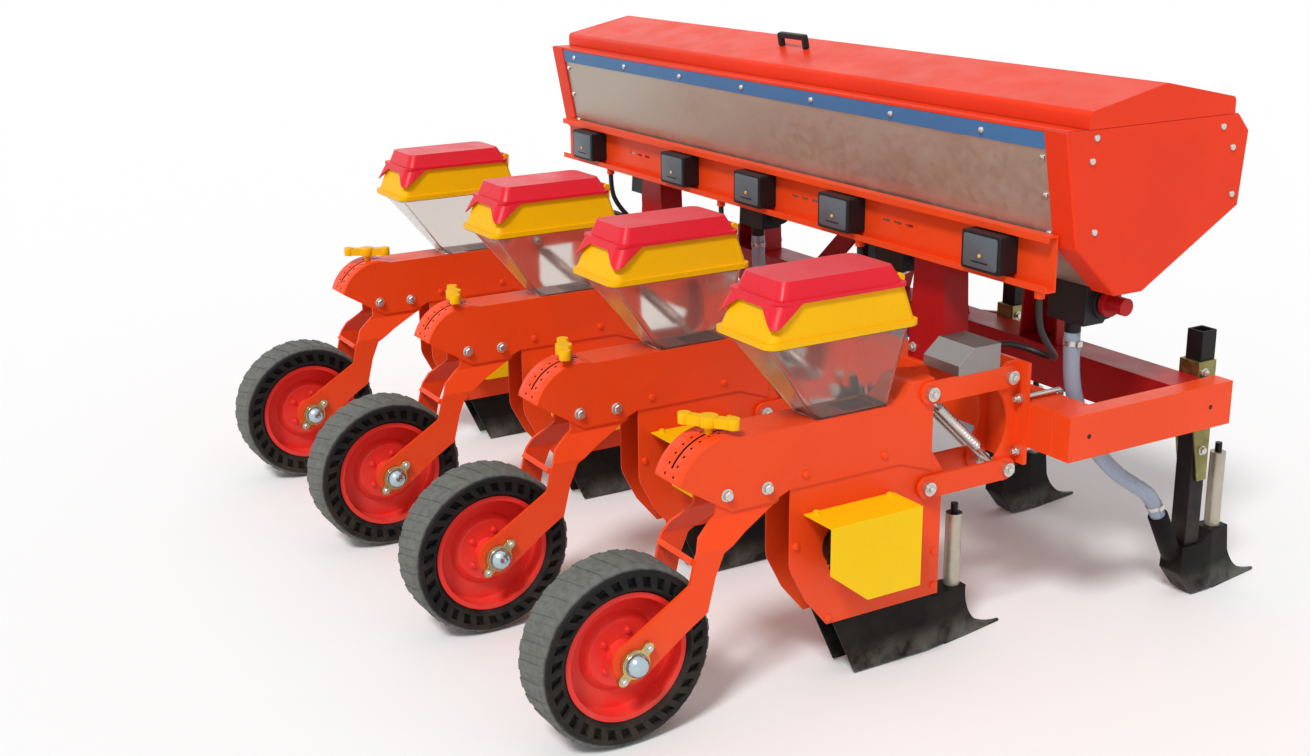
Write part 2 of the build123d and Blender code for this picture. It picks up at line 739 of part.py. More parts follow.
def depth_handle(turn):
    """A wing handle: a hub on its stem, and a bar with a knob at each end."""
    y, z = on_scale(HANDLE_AT, ARC_R)
    top = z + HANDLE_STEM_H
    stem = rod((0, y, PIVOT_Z), (0, y, top), HANDLE_STEM_R)
    stem -= side(disc(PIVOT_Y, PIVOT_Z, ARC_R), -BODY_HALF, BODY_HALF)
    grip = extrude(Circle(HANDLE_HUB_R), amount=HANDLE_HUB_H)
    grip += extrude(SlotOverall(HANDLE_L, HANDLE_T), amount=HANDLE_T)
    reach = HANDLE_L / 2 - HANDLE_TIP_R
    for x in (-reach, reach):
        grip += Pos(x, 0, 0) * extrude(Circle(HANDLE_TIP_R), amount=HANDLE_HUB_H)
    return stem + Pos(0, y, top) * Rot(0, 0, turn) * grip


# Linkage

def linkage_head():
    top, low = LINK_Z_HIGH + EAR_R, LINK_Z_LOW - EAR_R
    rear = LINK_FRONT_Y - EAR_R
    ahead = REAR_BEAM_Y - HEAD_PLATE
    corner_y, corner_z = HEAD_CORNER
    waist = ThreePointArc((rear + HEAD_NOTCH, LINK_Z_HIGH - EAR_R), (ahead - HEAD_WAIST, FRAME_Z),
                          (rear + HEAD_NOTCH, LINK_Z_LOW + EAR_R))
    edge = Polyline(waist @ 1, (rear, LINK_Z_LOW), (rear + corner_y, low + corner_z), (LINK_FRONT_Y, low),
                    (ahead, low + HEAD_FOOT), (ahead, top), (LINK_FRONT_Y, top),
                    (rear + corner_y, top - corner_z), (rear, LINK_Z_HIGH), waist @ 0)
    cheek = make_face(waist.edges() + edge.edges())
    for height in (LINK_Z_HIGH, LINK_Z_LOW):
        cheek -= disc(LINK_FRONT_Y, height, LINK_PIN_R + SEAT)
    cheeks = both_sides(side(cheek, BODY_HALF - HEAD_CHEEK, BODY_HALF))
    face = block(-HEAD_HALF, HEAD_HALF, ahead, REAR_BEAM_Y, low + HEAD_LOW, top)
    for x in (-CLAMP_X, CLAMP_X):
        for z in clamp_heights():
            face -= rod((x, ahead, z), (x, REAR_BEAM_Y, z), CLAMP_R + SEAT)
    return cheeks[0] + cheeks[1] + face


def clamp_heights():
    away = CLAMP_R + CLAMP_RISE
    return FRAME_TOP + away, FRAME_LOW - away


def unit_clamps():
    """The two bent bolts that hold a linkage head on the rear beam, with their nuts."""
    high, low = clamp_heights()
    plate = REAR_BEAM_Y - HEAD_PLATE
    tail = plate - CLAMP_TAIL
    ahead = REAR_BEAM_Y + BEAM + CLAMP_R + SEAT
    clamps = []
    for x in (-CLAMP_X, CLAMP_X):
        path = FilletPolyline((x, tail, high), (x, ahead, high), (x, ahead, low), (x, tail, low),
                              radius=CLAMP_BEND)
        clamp = sweep(Plane(origin=(x, tail, high), z_dir=(0, 1, 0)) * Circle(CLAMP_R), path=path)
        for z in (high, low):
            nut = Plane(origin=(x, plate, z), z_dir=(0, -1, 0)) * RegularPolygon(CLAMP_NUT_R, 6)
            clamp += extrude(nut, amount=CLAMP_NUT_T)
        clamps.append(clamp)
    return clamps


def parallel_links():
    links = []
    for height in (LINK_Z_HIGH, LINK_Z_LOW):
        shape = strap((LINK_REAR_Y, height), (LINK_FRONT_Y, height), LINK_W)
        for y in (LINK_REAR_Y, LINK_FRONT_Y):
            shape -= disc(y, height, LINK_PIN_R + SEAT)
        links += both_sides(side(shape, LINK_IN, LINK_OUT))
    return links


def link_pins():
    pins = []
    for y in (LINK_REAR_Y, LINK_FRONT_Y):
        for height in (LINK_Z_HIGH, LINK_Z_LOW):
            shank = side(disc(y, height, LINK_PIN_R), -LINK_OUT, LINK_OUT)
            heads = both_sides(side(disc(y, height, LINK_HEAD_R), LINK_OUT, LINK_OUT + LINK_HEAD_T))
            pins.append(shank + heads[0] + heads[1])
    return pins


def link_springs():
    start = Vector(SPRING_X, LINK_REAR_Y, LINK_Z_HIGH)
    end = Vector(SPRING_X, LINK_FRONT_Y, LINK_Z_LOW)
    along = (end - start).normalized()
    spring = rod(start + along * SPRING_EYE_R, end - along * SPRING_EYE_R, SPRING_ROD_R)
    spring += rod(start + along * SPRING_TOP_GAP, end - along * SPRING_LOW_GAP, SPRING_R)
    for y, z in ((LINK_REAR_Y, LINK_Z_HIGH), (LINK_FRONT_Y, LINK_Z_LOW)):
        eye = disc(y, z, SPRING_EYE_R + SPRING_EYE_RIM) - disc(y, z, LINK_PIN_R + SEAT)
        spring += side(eye, SPRING_X - SPRING_ROD_R, SPRING_X + SPRING_ROD_R)
    return both_sides(spring)


def controller():
    """A folded sheet cover over the upper links, with the cable's gland in its front."""
    base = LINK_Z_HIGH + LINK_W / 2
    shape = outline((CTRL_REAR, base), (CTRL_FRONT, base), (CTRL_FRONT, base + CTRL_H),
                    (CTRL_REAR + CTRL_SLOPE, base + CTRL_H), (CTRL_REAR, base + CTRL_BACK_H))
    inside = offset(shape, -CTRL_SKIN, kind=Kind.INTERSECTION)
    cover = side(shape, -LINK_OUT, LINK_OUT)
    for drop in (0, 2):
        cover -= side(Pos(0, -drop * CTRL_SKIN) * inside, CTRL_SKIN - LINK_OUT, LINK_OUT - CTRL_SKIN)
    gland_z = base + GLAND_RISE
    return cover + rod((0, CTRL_FRONT, gland_z), (0, CTRL_FRONT + GLAND_H, gland_z), GLAND_R)


# Seed bin

def seed_bin():
    ledge_w = (COLLAR_W - BIN_TOP_W) / 2
    top = (BIN_TOP_W, COLLAR_REAR + ledge_w, COLLAR_FRONT - ledge_w)
    base = (BIN_BASE_W, BIN_BASE_REAR, BIN_BASE_FRONT)
    outer = frustum(base, top, BODY_TOP, COLLAR_Z, BIN_ROUND)
    mouth = inset(top, BIN_WALL)
    corner = BIN_ROUND - BIN_WALL
    inner = frustum(inset(base, BIN_WALL), mouth, BODY_TOP + BIN_WALL, COLLAR_Z, corner)
    rim = (COLLAR_W, COLLAR_REAR, COLLAR_FRONT)
    ledge = frustum(rim, rim, COLLAR_Z - BIN_WALL, COLLAR_Z, COLLAR_ROUND)
    ledge -= frustum(mouth, mouth, COLLAR_Z - BIN_WALL, COLLAR_Z, corner)
    return outer + ledge - inner


def collar_section(z, grow=0.0):
    """The collar's outside at a height, as (width, rear y, front y), grown by a clearance."""
    share = (COLLAR_TOP - z) / (COLLAR_TOP - COLLAR_Z)
    width = COLLAR_TOP_W + share * (COLLAR_W - COLLAR_TOP_W)
    rear = COLLAR_TOP_REAR + share * (COLLAR_REAR - COLLAR_TOP_REAR)
    ahead = COLLAR_TOP_FRONT + share * (COLLAR_FRONT - COLLAR_TOP_FRONT)
    return inset((width, rear, ahead), -grow)


def lid_axis():
    return COLLAR_TOP_FRONT + LID_KNUCKLE_R + LID_HINGE_GAP, COLLAR_TOP + LID_KNUCKLE_R


def seed_collar():
    low, high = collar_section(COLLAR_Z), collar_section(COLLAR_TOP)
    outer = frustum(low, high, COLLAR_Z, COLLAR_TOP, COLLAR_ROUND)
    inner = frustum(inset(low, COLLAR_WALL), inset(high, COLLAR_WALL), COLLAR_Z, COLLAR_TOP,
                    COLLAR_ROUND - COLLAR_WALL)
    band = inset(low, -COLLAR_RIM_T)
    rim = frustum(band, band, COLLAR_Z, COLLAR_Z + COLLAR_RIM, COLLAR_ROUND + COLLAR_RIM_T)
    y, z = lid_axis()
    foot = COLLAR_TOP - LID_EAR_H
    ear = disc(y, z, LID_KNUCKLE_R)
    ear += outline((y - LID_KNUCKLE_R, z), (y + LID_KNUCKLE_R, z), (y + LID_EAR_FOOT, foot),
                   (COLLAR_TOP_FRONT + LID_HINGE_GAP, foot))
    ears = both_sides(side(ear, LID_EAR_X, LID_EAR_X + LID_EAR_W))
    pin = side(disc(y, z, LID_PIN_R), -LID_EAR_X, LID_EAR_X)
    return outer + rim + ears[0] + ears[1] + pin - inner


def lid_flaps(foot):
    """The pointed flaps that hang from the lid round the collar's rear corners."""
    tip = foot - FLAP_H
    reach = FLAP_GAP + LID_WALL
    low, high = collar_section(tip, FLAP_GAP + FLAP_FLARE), collar_section(foot, FLAP_GAP)
    outer = frustum(inset(low, -LID_WALL), inset(high, -LID_WALL), tip, foot, COLLAR_ROUND + reach)
    shell = outer - frustum(low, high, tip, foot, COLLAR_ROUND + FLAP_GAP)
    half = low[0] / 2 + reach
    point = low[0] / 2 - FLAP_TIP
    behind = low[1] - reach
    ahead = COLLAR_TOP_REAR + FLAP_SIDE
    lip = foot - FLAP_LIP
    profile = outline((behind, tip), (low[1] + FLAP_TIP, tip), (ahead, foot), (behind, foot))
    rear_view = outline((-half, foot), (half, foot), (half, tip), (point, tip), (FLAP_MIDDLE, lip),
                        (-FLAP_MIDDLE, lip), (-point, tip), (-half, tip))
    return shell & side(profile, -half, half) & front(rear_view, behind, ahead)


def seed_lid():
    foot = COLLAR_TOP + LID_GAP
    low = collar_section(COLLAR_TOP)
    high = (low[0] - 2 * LID_TOP_IN, low[1] + LID_TOP_REAR, low[2] - LID_TOP_FRONT)
    reach = FLAP_GAP + LID_WALL
    hood = frustum(low, high, foot, foot + LID_H, COLLAR_ROUND)
    brim = (low[0] + 2 * reach, low[1] - reach, low[2])
    hood += frustum(brim, brim, foot, foot + LID_BRIM, COLLAR_ROUND)
    hood += lid_flaps(foot + LID_WALL)
    hood -= frustum(inset(low, LID_WALL), inset(high, LID_WALL), foot, foot + LID_H - LID_WALL,
                    COLLAR_ROUND - LID_WALL)
    y, z = lid_axis()
    half = LID_EAR_X - KNUCKLE_PLAY
    knuckle = disc(y, z, LID_KNUCKLE_R)
    knuckle += outline((COLLAR_TOP_FRONT - LID_WALL, foot), (y, z - LID_KNUCKLE_R), (y, z + LID_KNUCKLE_R),
                       (COLLAR_TOP_FRONT - KNUCKLE_LAP, z + LID_KNUCKLE_R))
    lid = hood + side(knuckle, -half, half)
    return lid - side(disc(y, z, LID_PIN_R + SEAT), -half, half)


# Fertiliser hopper

def trough_outline(grow=0.0):
    shape = outline((HOPPER_REAR, HOPPER_TOP), REAR_KNEE, (LOW_REAR, TROUGH_LOW), (LOW_FRONT, TROUGH_LOW),
                    FRONT_KNEE, FRONT_EDGE, (SHOULDER_FRONT, HOPPER_TOP))
    if grow:
        shape = offset(shape, grow, kind=Kind.INTERSECTION)
    return shape


def hopper_trough():
    trough = side(trough_outline(), -TROUGH_HALF, TROUGH_HALF)
    trough -= side(trough_outline(-TROUGH_WALL), -TROUGH_HALF, TROUGH_HALF)
    return trough - block(-TROUGH_HALF, TROUGH_HALF, MOUTH_REAR, MOUTH_FRONT, HOPPER_TOP - 2 * TROUGH_WALL,
                          HOPPER_TOP)


def hopper_end_cap():
    end = TROUGH_HALF + CAP_SKIN
    cap = side(trough_outline(SEAT + CAP_SKIN), end - CAP_WRAP, end)
    cap = chamfer(cap.faces().sort_by(Axis.X)[-1].edges(), CAP_CHAMFER)
    cap -= side(trough_outline(SEAT), end - CAP_WRAP, TROUGH_HALF)
    return cap & block(0, end, 0, 2 * MOUTH_FRONT, 0, HOPPER_TOP)


def rear_wall_strip(start, width, thickness):
    """A strip on the slanted rear wall: how far below the top edge, how wide, how thick."""
    top = Vector(HOPPER_REAR, HOPPER_TOP)
    down = (Vector(*REAR_KNEE) - top).normalized()
    out = Vector(down.Y, -down.X)
    corners = (top + down * start, top + down * (start + width),
               top + down * (start + width) + out * thickness, top + down * start + out * thickness)
    return outline(*[(c.X, c.Y) for c in corners])


def hopper_strip():
    half = TROUGH_HALF + CAP_SKIN - CAP_WRAP
    return side(rear_wall_strip(STRIP_DROP, STRIP_W, STRIP_T), -half, half)


def cover_axis():
    return COVER_HINGE_Y, HOPPER_TOP + COVER_HINGE_RISE


def cover_hinge_places():
    outer = TROUGH_HALF - COVER_HINGE_IN
    return -outer, 0, outer


def hopper_lid():
    foot = HOPPER_TOP + LID_GAP
    eaves = foot + COVER_SKIRT
    corners = [(COVER_REAR, eaves), (COVER_RIDGE_Y, foot + COVER_RIDGE_H), (COVER_FRONT, eaves)]
    shape = outline((COVER_REAR, foot), *corners, (COVER_FRONT, foot))
    inside = rounded(offset(shape, -COVER_WALL, kind=Kind.INTERSECTION), corners, COVER_EAVE_R - COVER_WALL)
    half = TROUGH_HALF + CAP_SKIN
    lid = side(rounded(shape, corners, COVER_EAVE_R), -half, half)
    for drop in (0, 2):
        lid -= side(Pos(0, -drop * COVER_WALL) * inside, COVER_WALL - half, half - COVER_WALL)
    y, z = cover_axis()
    knuckle = disc(y, z, COVER_KNUCKLE_R)
    knuckle += outline((COVER_FRONT - OVERCUT, z - COVER_LEAF), (y, z - COVER_LEAF), (y, z + COVER_KNUCKLE_R),
                       (COVER_FRONT - OVERCUT, z + COVER_KNUCKLE_R))
    knuckle -= disc(y, z, COVER_PIN_R + SEAT)
    for x in cover_hinge_places():
        lid += side(knuckle, x - COVER_KNUCKLE_W / 2, x + COVER_KNUCKLE_W / 2)
    return lid


def hopper_hinge():
    y, z = cover_axis()
    drop = (HOPPER_TOP - FRONT_EDGE[1]) / (FRONT_EDGE[0] - SHOULDER_FRONT)
    foot = [(SHOULDER_FRONT + reach, HOPPER_TOP - reach * drop) for reach in (HINGE_FOOT_IN, HINGE_FOOT_OUT)]
    ear = disc(y, z, COVER_KNUCKLE_R)
    ear += outline(*foot, (y + COVER_KNUCKLE_R, z), (y - COVER_KNUCKLE_R + LID_HINGE_GAP, z))
    inner = COVER_KNUCKLE_W / 2 + KNUCKLE_PLAY
    ears = both_sides(side(ear, inner, inner + HINGE_EAR_W))
    pin = side(disc(y, z, COVER_PIN_R), -inner, inner)
    return ears[0] + ears[1] + pin


def lid_handle():
    rise = (COVER_RIDGE_H - COVER_SKIRT) / COVER_RIDGE
    z = HOPPER_TOP + LID_GAP + COVER_SKIRT + rise * GRIP_UP
    room_h = GRIP_H - GRIP_T
    bow = Pos(0, GRIP_H / 2) * RectangleRounded(GRIP_W, GRIP_H, GRIP_ROUND)
    bow -= Pos(0, (room_h - GRIP_ROUND) / 2) * Rectangle(GRIP_W - 2 * GRIP_T, room_h + GRIP_ROUND)
    bow &= Pos(0, GRIP_H / 2 + OVERCUT) * Rectangle(GRIP_W, GRIP_H)
    grip = extrude(Plane.XZ * bow, amount=GRIP_T / 2, both=True)
    return Pos(GRIP_X, COVER_REAR + GRIP_UP, z) * Rot(degrees(atan2(rise, 1)), 0, 0) * Pos(0, 0, -OVERCUT) * grip


def hopper_posts():
    """Folded channels under the trough, open towards the middle of the frame."""
    trough = side(trough_outline(SEAT), -TROUGH_HALF, TROUGH_HALF)
    knee = FRONT_KNEE[1]
    posts = []
    for beam_y, open_side in ((REAR_BEAM_Y, 1), (FRONT_BEAM_Y, -1)):
        rear, ahead = beam_y + POST_MARGIN, beam_y + BEAM - POST_MARGIN
        face = outline((-POST_FOOT_W / 2, FRAME_TOP), (POST_FOOT_W / 2, FRAME_TOP),
                       (POST_HEAD_W / 2, knee), (-POST_HEAD_W / 2, knee))
        inside = outline((POST_WALL - POST_FOOT_W / 2, FRAME_TOP), (POST_FOOT_W / 2 - POST_WALL, FRAME_TOP),
                         (POST_HEAD_W / 2 - POST_WALL, knee), (POST_WALL - POST_HEAD_W / 2, knee))
        shift = open_side * POST_WALL
        post = front(face, rear, ahead) - front(inside, rear + shift, ahead + shift)
        if beam_y == REAR_BEAM_Y:
            post += block(-POST_HEAD_W / 2, POST_HEAD_W / 2, BAR_FRONT, rear + POST_WALL,
                          BAR_LOW + ARM_PLATE_LOW, BAR_LOW + ARM_PLATE_LOW + ARM_PLATE_H)
        posts += [Pos(x, 0, 0) * post - trough for x in (-POST_X, POST_X)]
    return [biggest(post) for post in posts]


def biggest(piece):
    return max(piece.solids(), key=lambda solid: solid.volume)


# Monitor bar

def monitor_bar():
    """A channel with lips, open to the rear, with slots in its web and the cables' glands below."""
    shape = outline((BAR_REAR, BAR_LOW), (BAR_FRONT, BAR_LOW), (BAR_FRONT, BAR_TOP), (BAR_REAR, BAR_TOP))
    shape -= outline((BAR_REAR + BAR_T, BAR_LOW + BAR_T), (BAR_FRONT - BAR_T, BAR_LOW + BAR_T),
                     (BAR_FRONT - BAR_T, BAR_TOP - BAR_T), (BAR_REAR + BAR_T, BAR_TOP - BAR_T))
    shape -= outline((BAR_REAR, BAR_LOW + BAR_LIP), (BAR_REAR + BAR_T, BAR_LOW + BAR_LIP),
                     (BAR_REAR + BAR_T, BAR_TOP - BAR_LIP), (BAR_REAR, BAR_TOP - BAR_LIP))
    bar = side(shape, -BAR_HALF, BAR_HALF)
    slot = SlotOverall(BAR_SLOT_L, BAR_SLOT_W)
    for x in BAR_SLOT_X:
        for step in (-BAR_SLOT_STEP, 0, BAR_SLOT_STEP):
            bar -= front(Pos(x + step, BAR_LOW + BAR_H / 2) * slot, BAR_FRONT - BAR_T, BAR_FRONT)
    for row in ROWS:
        x = row + GLAND_SHIFT
        bar += rod((x, BAR_MIDDLE_Y, BAR_LOW), (x, BAR_MIDDLE_Y, BAR_LOW - GLAND_H), GLAND_R)
    return bar


def monitor_boxes():
    ahead = BAR_FRONT - BAR_T
    z = BAR_LOW + BAR_H / 2
    boxes = []
    for x in BOX_X:
        case = block(x - BOX_W / 2, x + BOX_W / 2, ahead - BOX_D, ahead, z - BOX_H / 2, z + BOX_H / 2)
        boxes.append(fillet(case.edges().filter_by(Axis.Y), BOX_ROUND))
    return boxes


# Fertiliser meters, hoses and openers

def fert_meter():
    half = FERT_METER_W / 2
    chin = FERT_METER_LOW + FERT_METER_CHIN
    shape = outline((LOW_REAR, TROUGH_LOW), (LOW_FRONT, TROUGH_LOW), (LOW_FRONT, chin),
                    (SHAFT_Y, FERT_METER_LOW), (LOW_REAR - FERT_METER_LIP, FERT_METER_LOW))
    case = side(shape, -half, half)
    case += rod((0, SPOUT_Y, FERT_METER_LOW), (0, SPOUT_Y, FERT_METER_LOW - SPOUT_H), SPOUT_R)
    drum = side(disc(SHAFT_Y, SHAFT_Z, FERT_DISC_R), -half - FERT_DISC_T, half + FERT_DISC_T)
    drum &= block(-FERT_METER_W, FERT_METER_W, LOW_REAR, LOW_FRONT + FERT_DISC_R, FERT_METER_LOW, TROUGH_LOW)
    return case + drum - side(disc(SHAFT_Y, SHAFT_Z, SHAFT_R + SEAT), -FERT_METER_W, FERT_METER_W)


def meter_shaft():
    """The cross shaft through all meters, with a drive sprocket near its right-hand end."""
    shaft = side(disc(SHAFT_Y, SHAFT_Z, SHAFT_R), -SHAFT_HALF, SHAFT_HALF)
    start = SHAFT_HALF - SPROCKET_IN
    return shaft + side(disc(SHAFT_Y, SHAFT_Z, SPROCKET_R), start, start + SPROCKET_W)


def fert_shank():
    half, bore = SHANK / 2, SHANK / 2 - SHANK_WALL
    tube = block(-half, half, SHANK_REAR, SHANK_FRONT, BOOT_TOP, SHANK_TOP)
    return tube - block(-bore, bore, SHANK_REAR + SHANK_WALL, SHANK_FRONT - SHANK_WALL, BOOT_TOP, SHANK_TOP)


def fert_bracket():
    half = SHANK / 2 + SEAT
    low = FRAME_LOW - BRACKET_DROP
    cheek = outline((FRONT_BEAM_FRONT, low), (FRONT_BEAM_FRONT, BRACKET_TOP), (SHANK_FRONT, BRACKET_TOP),
                    (SHANK_FRONT, BRACKET_TIP), (SHANK_FRONT - BRACKET_TIP_W, BRACKET_TIP))
    cheeks = both_sides(side(cheek, half, half + BRACKET_T))
    back = block(-half, half, FRONT_BEAM_FRONT, FRONT_BEAM_FRONT + BRACKET_BACK, low, BRACKET_TOP)
    return cheeks[0] + cheeks[1] + back


def fert_boot():
    heel_y, heel_z = BOOT_HEEL
    shoe = outline((BOOT_REAR, heel_z), (BOOT_REAR + heel_y, BOOT_SILL), (BOOT_FRONT + BOOT_LEAN, BOOT_SILL),
                   (BOOT_FRONT, BOOT_STEP), (BOOT_FRONT - BOOT_LEDGE, BOOT_STEP), (SHANK_FRONT, BOOT_TOP),
                   (BOOT_REAR + TOE_LIP, BOOT_TOP))
    curve = ThreePointArc((BOOT_FRONT, BOOT_STEP), (BOOT_FRONT + BOOT_SAG[0], BOOT_SAG[1]),
                          (BOOT_TOE, BOOT_SILL))
    taper = plan(outline((-BOOT_HALF, BOOT_FRONT - BOOT_TAPER), (BOOT_HALF, BOOT_FRONT - BOOT_TAPER),
                         (BOOT_NOSE_HALF, BOOT_FRONT), (TOE_HALF, BOOT_TOE), (-TOE_HALF, BOOT_TOE),
                         (-BOOT_NOSE_HALF, BOOT_FRONT)), 0, BOOT_STEP)
    room = taper + block(-BOOT_HALF, BOOT_HALF, 0, BOOT_FRONT - BOOT_TAPER, 0, BOOT_STEP)
    boot = side(shoe, -BOOT_HALF, BOOT_HALF) & room
    boot += nose(curve, BOOT_TOE, BOOT_FRONT - BOOT_NOSE_BACK, 0, BOOT_HALF, taper)
    return boot + rod((0, *SOCKET_ROOT), (0, *SOCKET_END), SOCKET_R)


def hose_points(row):
    """The hose from the meter's spout to the boot's socket."""
    away = hypot(SOCKET_END[0] - SOCKET_ROOT[0], SOCKET_END[1] - SOCKET_ROOT[1])
    up = ((SOCKET_END[0] - SOCKET_ROOT[0]) / away, (SOCKET_END[1] - SOCKET_ROOT[1]) / away)
    x0, x1 = row + METER_SHIFT, row + FERT_SHIFT
    return [(x0, SPOUT_Y, FERT_METER_LOW - SPOUT_H), (x0, SPOUT_Y, 592), (x0 + 12, 1117, 505),
            (x0 + 28, 1158, 410), (x1 - 10, 1224, 338), (x1, SOCKET_END[0] - 64, 292),
            (x1, SOCKET_END[0] + 55 * up[0], SOCKET_END[1] + 55 * up[1]), (x1, *SOCKET_END)]


def cable_points(row):
    """The unit's cable from its controller to the gland under the monitor bar."""
    z = LINK_Z_HIGH + LINK_W / 2 + GLAND_RISE
    gland_x = row + GLAND_SHIFT
    return [(row, CTRL_FRONT + GLAND_H, z), (row, 962, z), (row + 16, 1004, z - 6), (row + 58, 1024, z - 8),
            (row + 100, 1008, z + 12), (gland_x, BAR_MIDDLE_Y + 26, z + 46), (gland_x, BAR_MIDDLE_Y, z + 86),
            (gland_x, BAR_MIDDLE_Y, BAR_LOW - GLAND_H)]


def cord(points, radius):
    """A tube along straight runs joined by arcs as large as the runs allow."""
    spots = [Vector(*p) for p in points]
    radii = []
    for before, here, after in zip(spots, spots[1:], spots[2:]):
        turn = radians((here - before).get_angle(after - here))
        shorter = min((here - before).length, (after - here).length)
        radii.append(BEND_SHARE * shorter / tan(turn / 2))
    path = FilletPolyline(*spots, radius=radii)
    print("cord radii", [round(r) for r in radii])
    start = Plane(origin=spots[0], z_dir=spots[1] - spots[0])
    return sweep(start * Circle(radius), path=path)


def build():
    os.makedirs("parts", exist_ok=True)
    write("rear_beam", [beam(REAR_BEAM_Y)])
    write("front_beam", [beam(FRONT_BEAM_Y)])
    write("side_rails", both_sides(side_rail()))
    write("hitch_mast", [hitch_mast()])
    write("hitch_brackets", hitch_struts() + both_sides(hitch_lower_plate()))
    write("hitch_pins", both_sides(hitch_pin()))
    write("hopper_posts", hopper_posts())
    write("hopper_trough", [hopper_trough()])
    write("hopper_end_caps", both_sides(hopper_end_cap()))
    write("hopper_strip", [hopper_strip()])
    write("hopper_hinges", [Pos(x, 0, 0) * hopper_hinge() for x in cover_hinge_places()])
    write("hopper_lid", [hopper_lid()])
    write("lid_handle", [lid_handle()])
    write("monitor_bar", [monitor_bar()])
    write("monitor_boxes", monitor_boxes())
    write("fert_meters", in_rows(fert_meter(), METER_X))
    write("meter_shaft", [meter_shaft()])
    write("fert_shanks", in_rows(fert_shank(), FERT_X))
    write("fert_brackets", in_rows(fert_bracket(), FERT_X))
    write("fert_boots", in_rows(fert_boot(), FERT_X))
    write("fert_sleeves", in_rows(sleeve(FERT_SLEEVE_Y, BOOT_STEP, FERT_SLEEVE_H), FERT_X))
    write("linkage_heads", in_rows(linkage_head()))
    write("unit_clamps", [p for clamp in unit_clamps() for p in in_rows(clamp)])
    write("parallel_links", [p for link in parallel_links() for p in in_rows(link)])
    write("link_pins", [p for pin in link_pins() for p in in_rows(pin)])
    write("link_springs", [p for spring in link_springs() for p in in_rows(spring)])
    write("unit_bodies", in_rows(unit_body()))
    write("meter_housings", in_rows(meter_housing()))
    write("seed_meters", in_rows(seed_meter()))
    write("seed_openers", in_rows(seed_opener()))
    write("seed_sleeves", in_rows(sleeve(SLEEVE_Y, OPENER_STEP, SLEEVE_H)))
    write("chain_guards", in_rows(chain_guard()))
    write("drive_motors", in_rows(drive_motor()))
    write("depth_handles", [Pos(row, 0, 0) * depth_handle(turn) for row, turn in zip(ROWS, HANDLE_TURNS)])
    write("controllers", in_rows(controller()))
    write("wheel_forks", in_rows(wheel_fork()))
    write("hub_bearings", [p for bearing in both_sides(hub_bearing()) for p in in_rows(bearing)])
    write("seed_bins", in_rows(seed_bin()))
    write("seed_collars", in_rows(seed_collar()))
    pieces = {"tyre": tyre(), "rim": rim(), "seed_lid": seed_lid()}
    for number, row in enumerate(ROWS, start=1):
        for name, piece in pieces.items():
            write(f"{name}_{number}", [Pos(row, 0, 0) * piece])
        write(f"fert_hose_{number}", [cord(hose_points(row), HOSE_R)])
        write(f"unit_cable_{number}", [cord(cable_points(row), CABLE_R)])


build()
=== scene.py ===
# %% [markdown]
# # A four-row precision seeder
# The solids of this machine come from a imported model, which is loaded as a fixed frame. Everything here
# is dress: light, paint, rubber, screws, springs and hoses. Each piece is placed from the frame's own
# boxes and joints, or by its distance from the wheel axles, so that it sits on the solid that carries it
# and follows that solid's joint. Lengths are in metres, apart from the camera's lens. At the end of a name,
# R is a radius, D a diameter, T a thickness, H a height, L a length and HALF half a width.

# %% Load the frame
import json
from math import cos, pi, radians, sin

import bmesh
import bpy
from mathutils import Matrix, Vector


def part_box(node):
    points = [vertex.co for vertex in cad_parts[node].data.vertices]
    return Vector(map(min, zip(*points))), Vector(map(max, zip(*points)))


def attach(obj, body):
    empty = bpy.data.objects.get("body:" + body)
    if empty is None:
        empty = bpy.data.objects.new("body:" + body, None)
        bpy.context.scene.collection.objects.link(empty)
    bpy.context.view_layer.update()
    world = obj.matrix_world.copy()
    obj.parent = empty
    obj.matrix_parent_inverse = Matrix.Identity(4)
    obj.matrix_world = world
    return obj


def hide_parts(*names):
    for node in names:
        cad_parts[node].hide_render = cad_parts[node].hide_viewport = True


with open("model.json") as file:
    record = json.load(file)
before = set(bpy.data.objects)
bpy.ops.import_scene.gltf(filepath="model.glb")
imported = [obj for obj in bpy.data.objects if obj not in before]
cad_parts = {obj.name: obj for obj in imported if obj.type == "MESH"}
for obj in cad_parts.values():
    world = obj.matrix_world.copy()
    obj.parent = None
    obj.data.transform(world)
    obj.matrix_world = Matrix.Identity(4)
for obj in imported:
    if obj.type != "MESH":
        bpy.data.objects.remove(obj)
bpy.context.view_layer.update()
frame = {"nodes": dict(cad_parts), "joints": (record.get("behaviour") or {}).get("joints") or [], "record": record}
joints = {joint["name"]: joint for joint in frame["joints"]}
ROW_NUMBERS = (1, 2, 3, 4)
HUBS = [Vector(joints[f"wheel_{number}_spin"]["pos_m"]) for number in ROW_NUMBERS]
AXLE_Y, AXLE_Z = HUBS[0].y, HUBS[0].z
BODY = "frame"

# %% [markdown]
# ## Camera
# The photograph looks down on the rear right-hand corner. Its view was worked out from the even row of
# wheels and the long edges of the hopper and frame, which give the turn, the slope and the focal length
# together. The camera's three axes are set as the columns of its matrix, because that needs no guessing
# about rotation order.

# %% Camera
VIEW_TURN, VIEW_SLOPE, VIEW_ROLL = radians(59.498), radians(16.991), radians(-0.747)
CAMERA_PLACE = Vector((3.412, -2.139, 1.613))
LENS_MM, SENSOR_MM = 44.783, 36.0
UP = Vector((0, 0, 1))


def direction(turn, slope):
    """From the machine towards a place; a turn of 0 is straight behind it, and a slope of 0 is level."""
    return Vector((sin(turn) * cos(slope), -cos(turn) * cos(slope), sin(slope)))


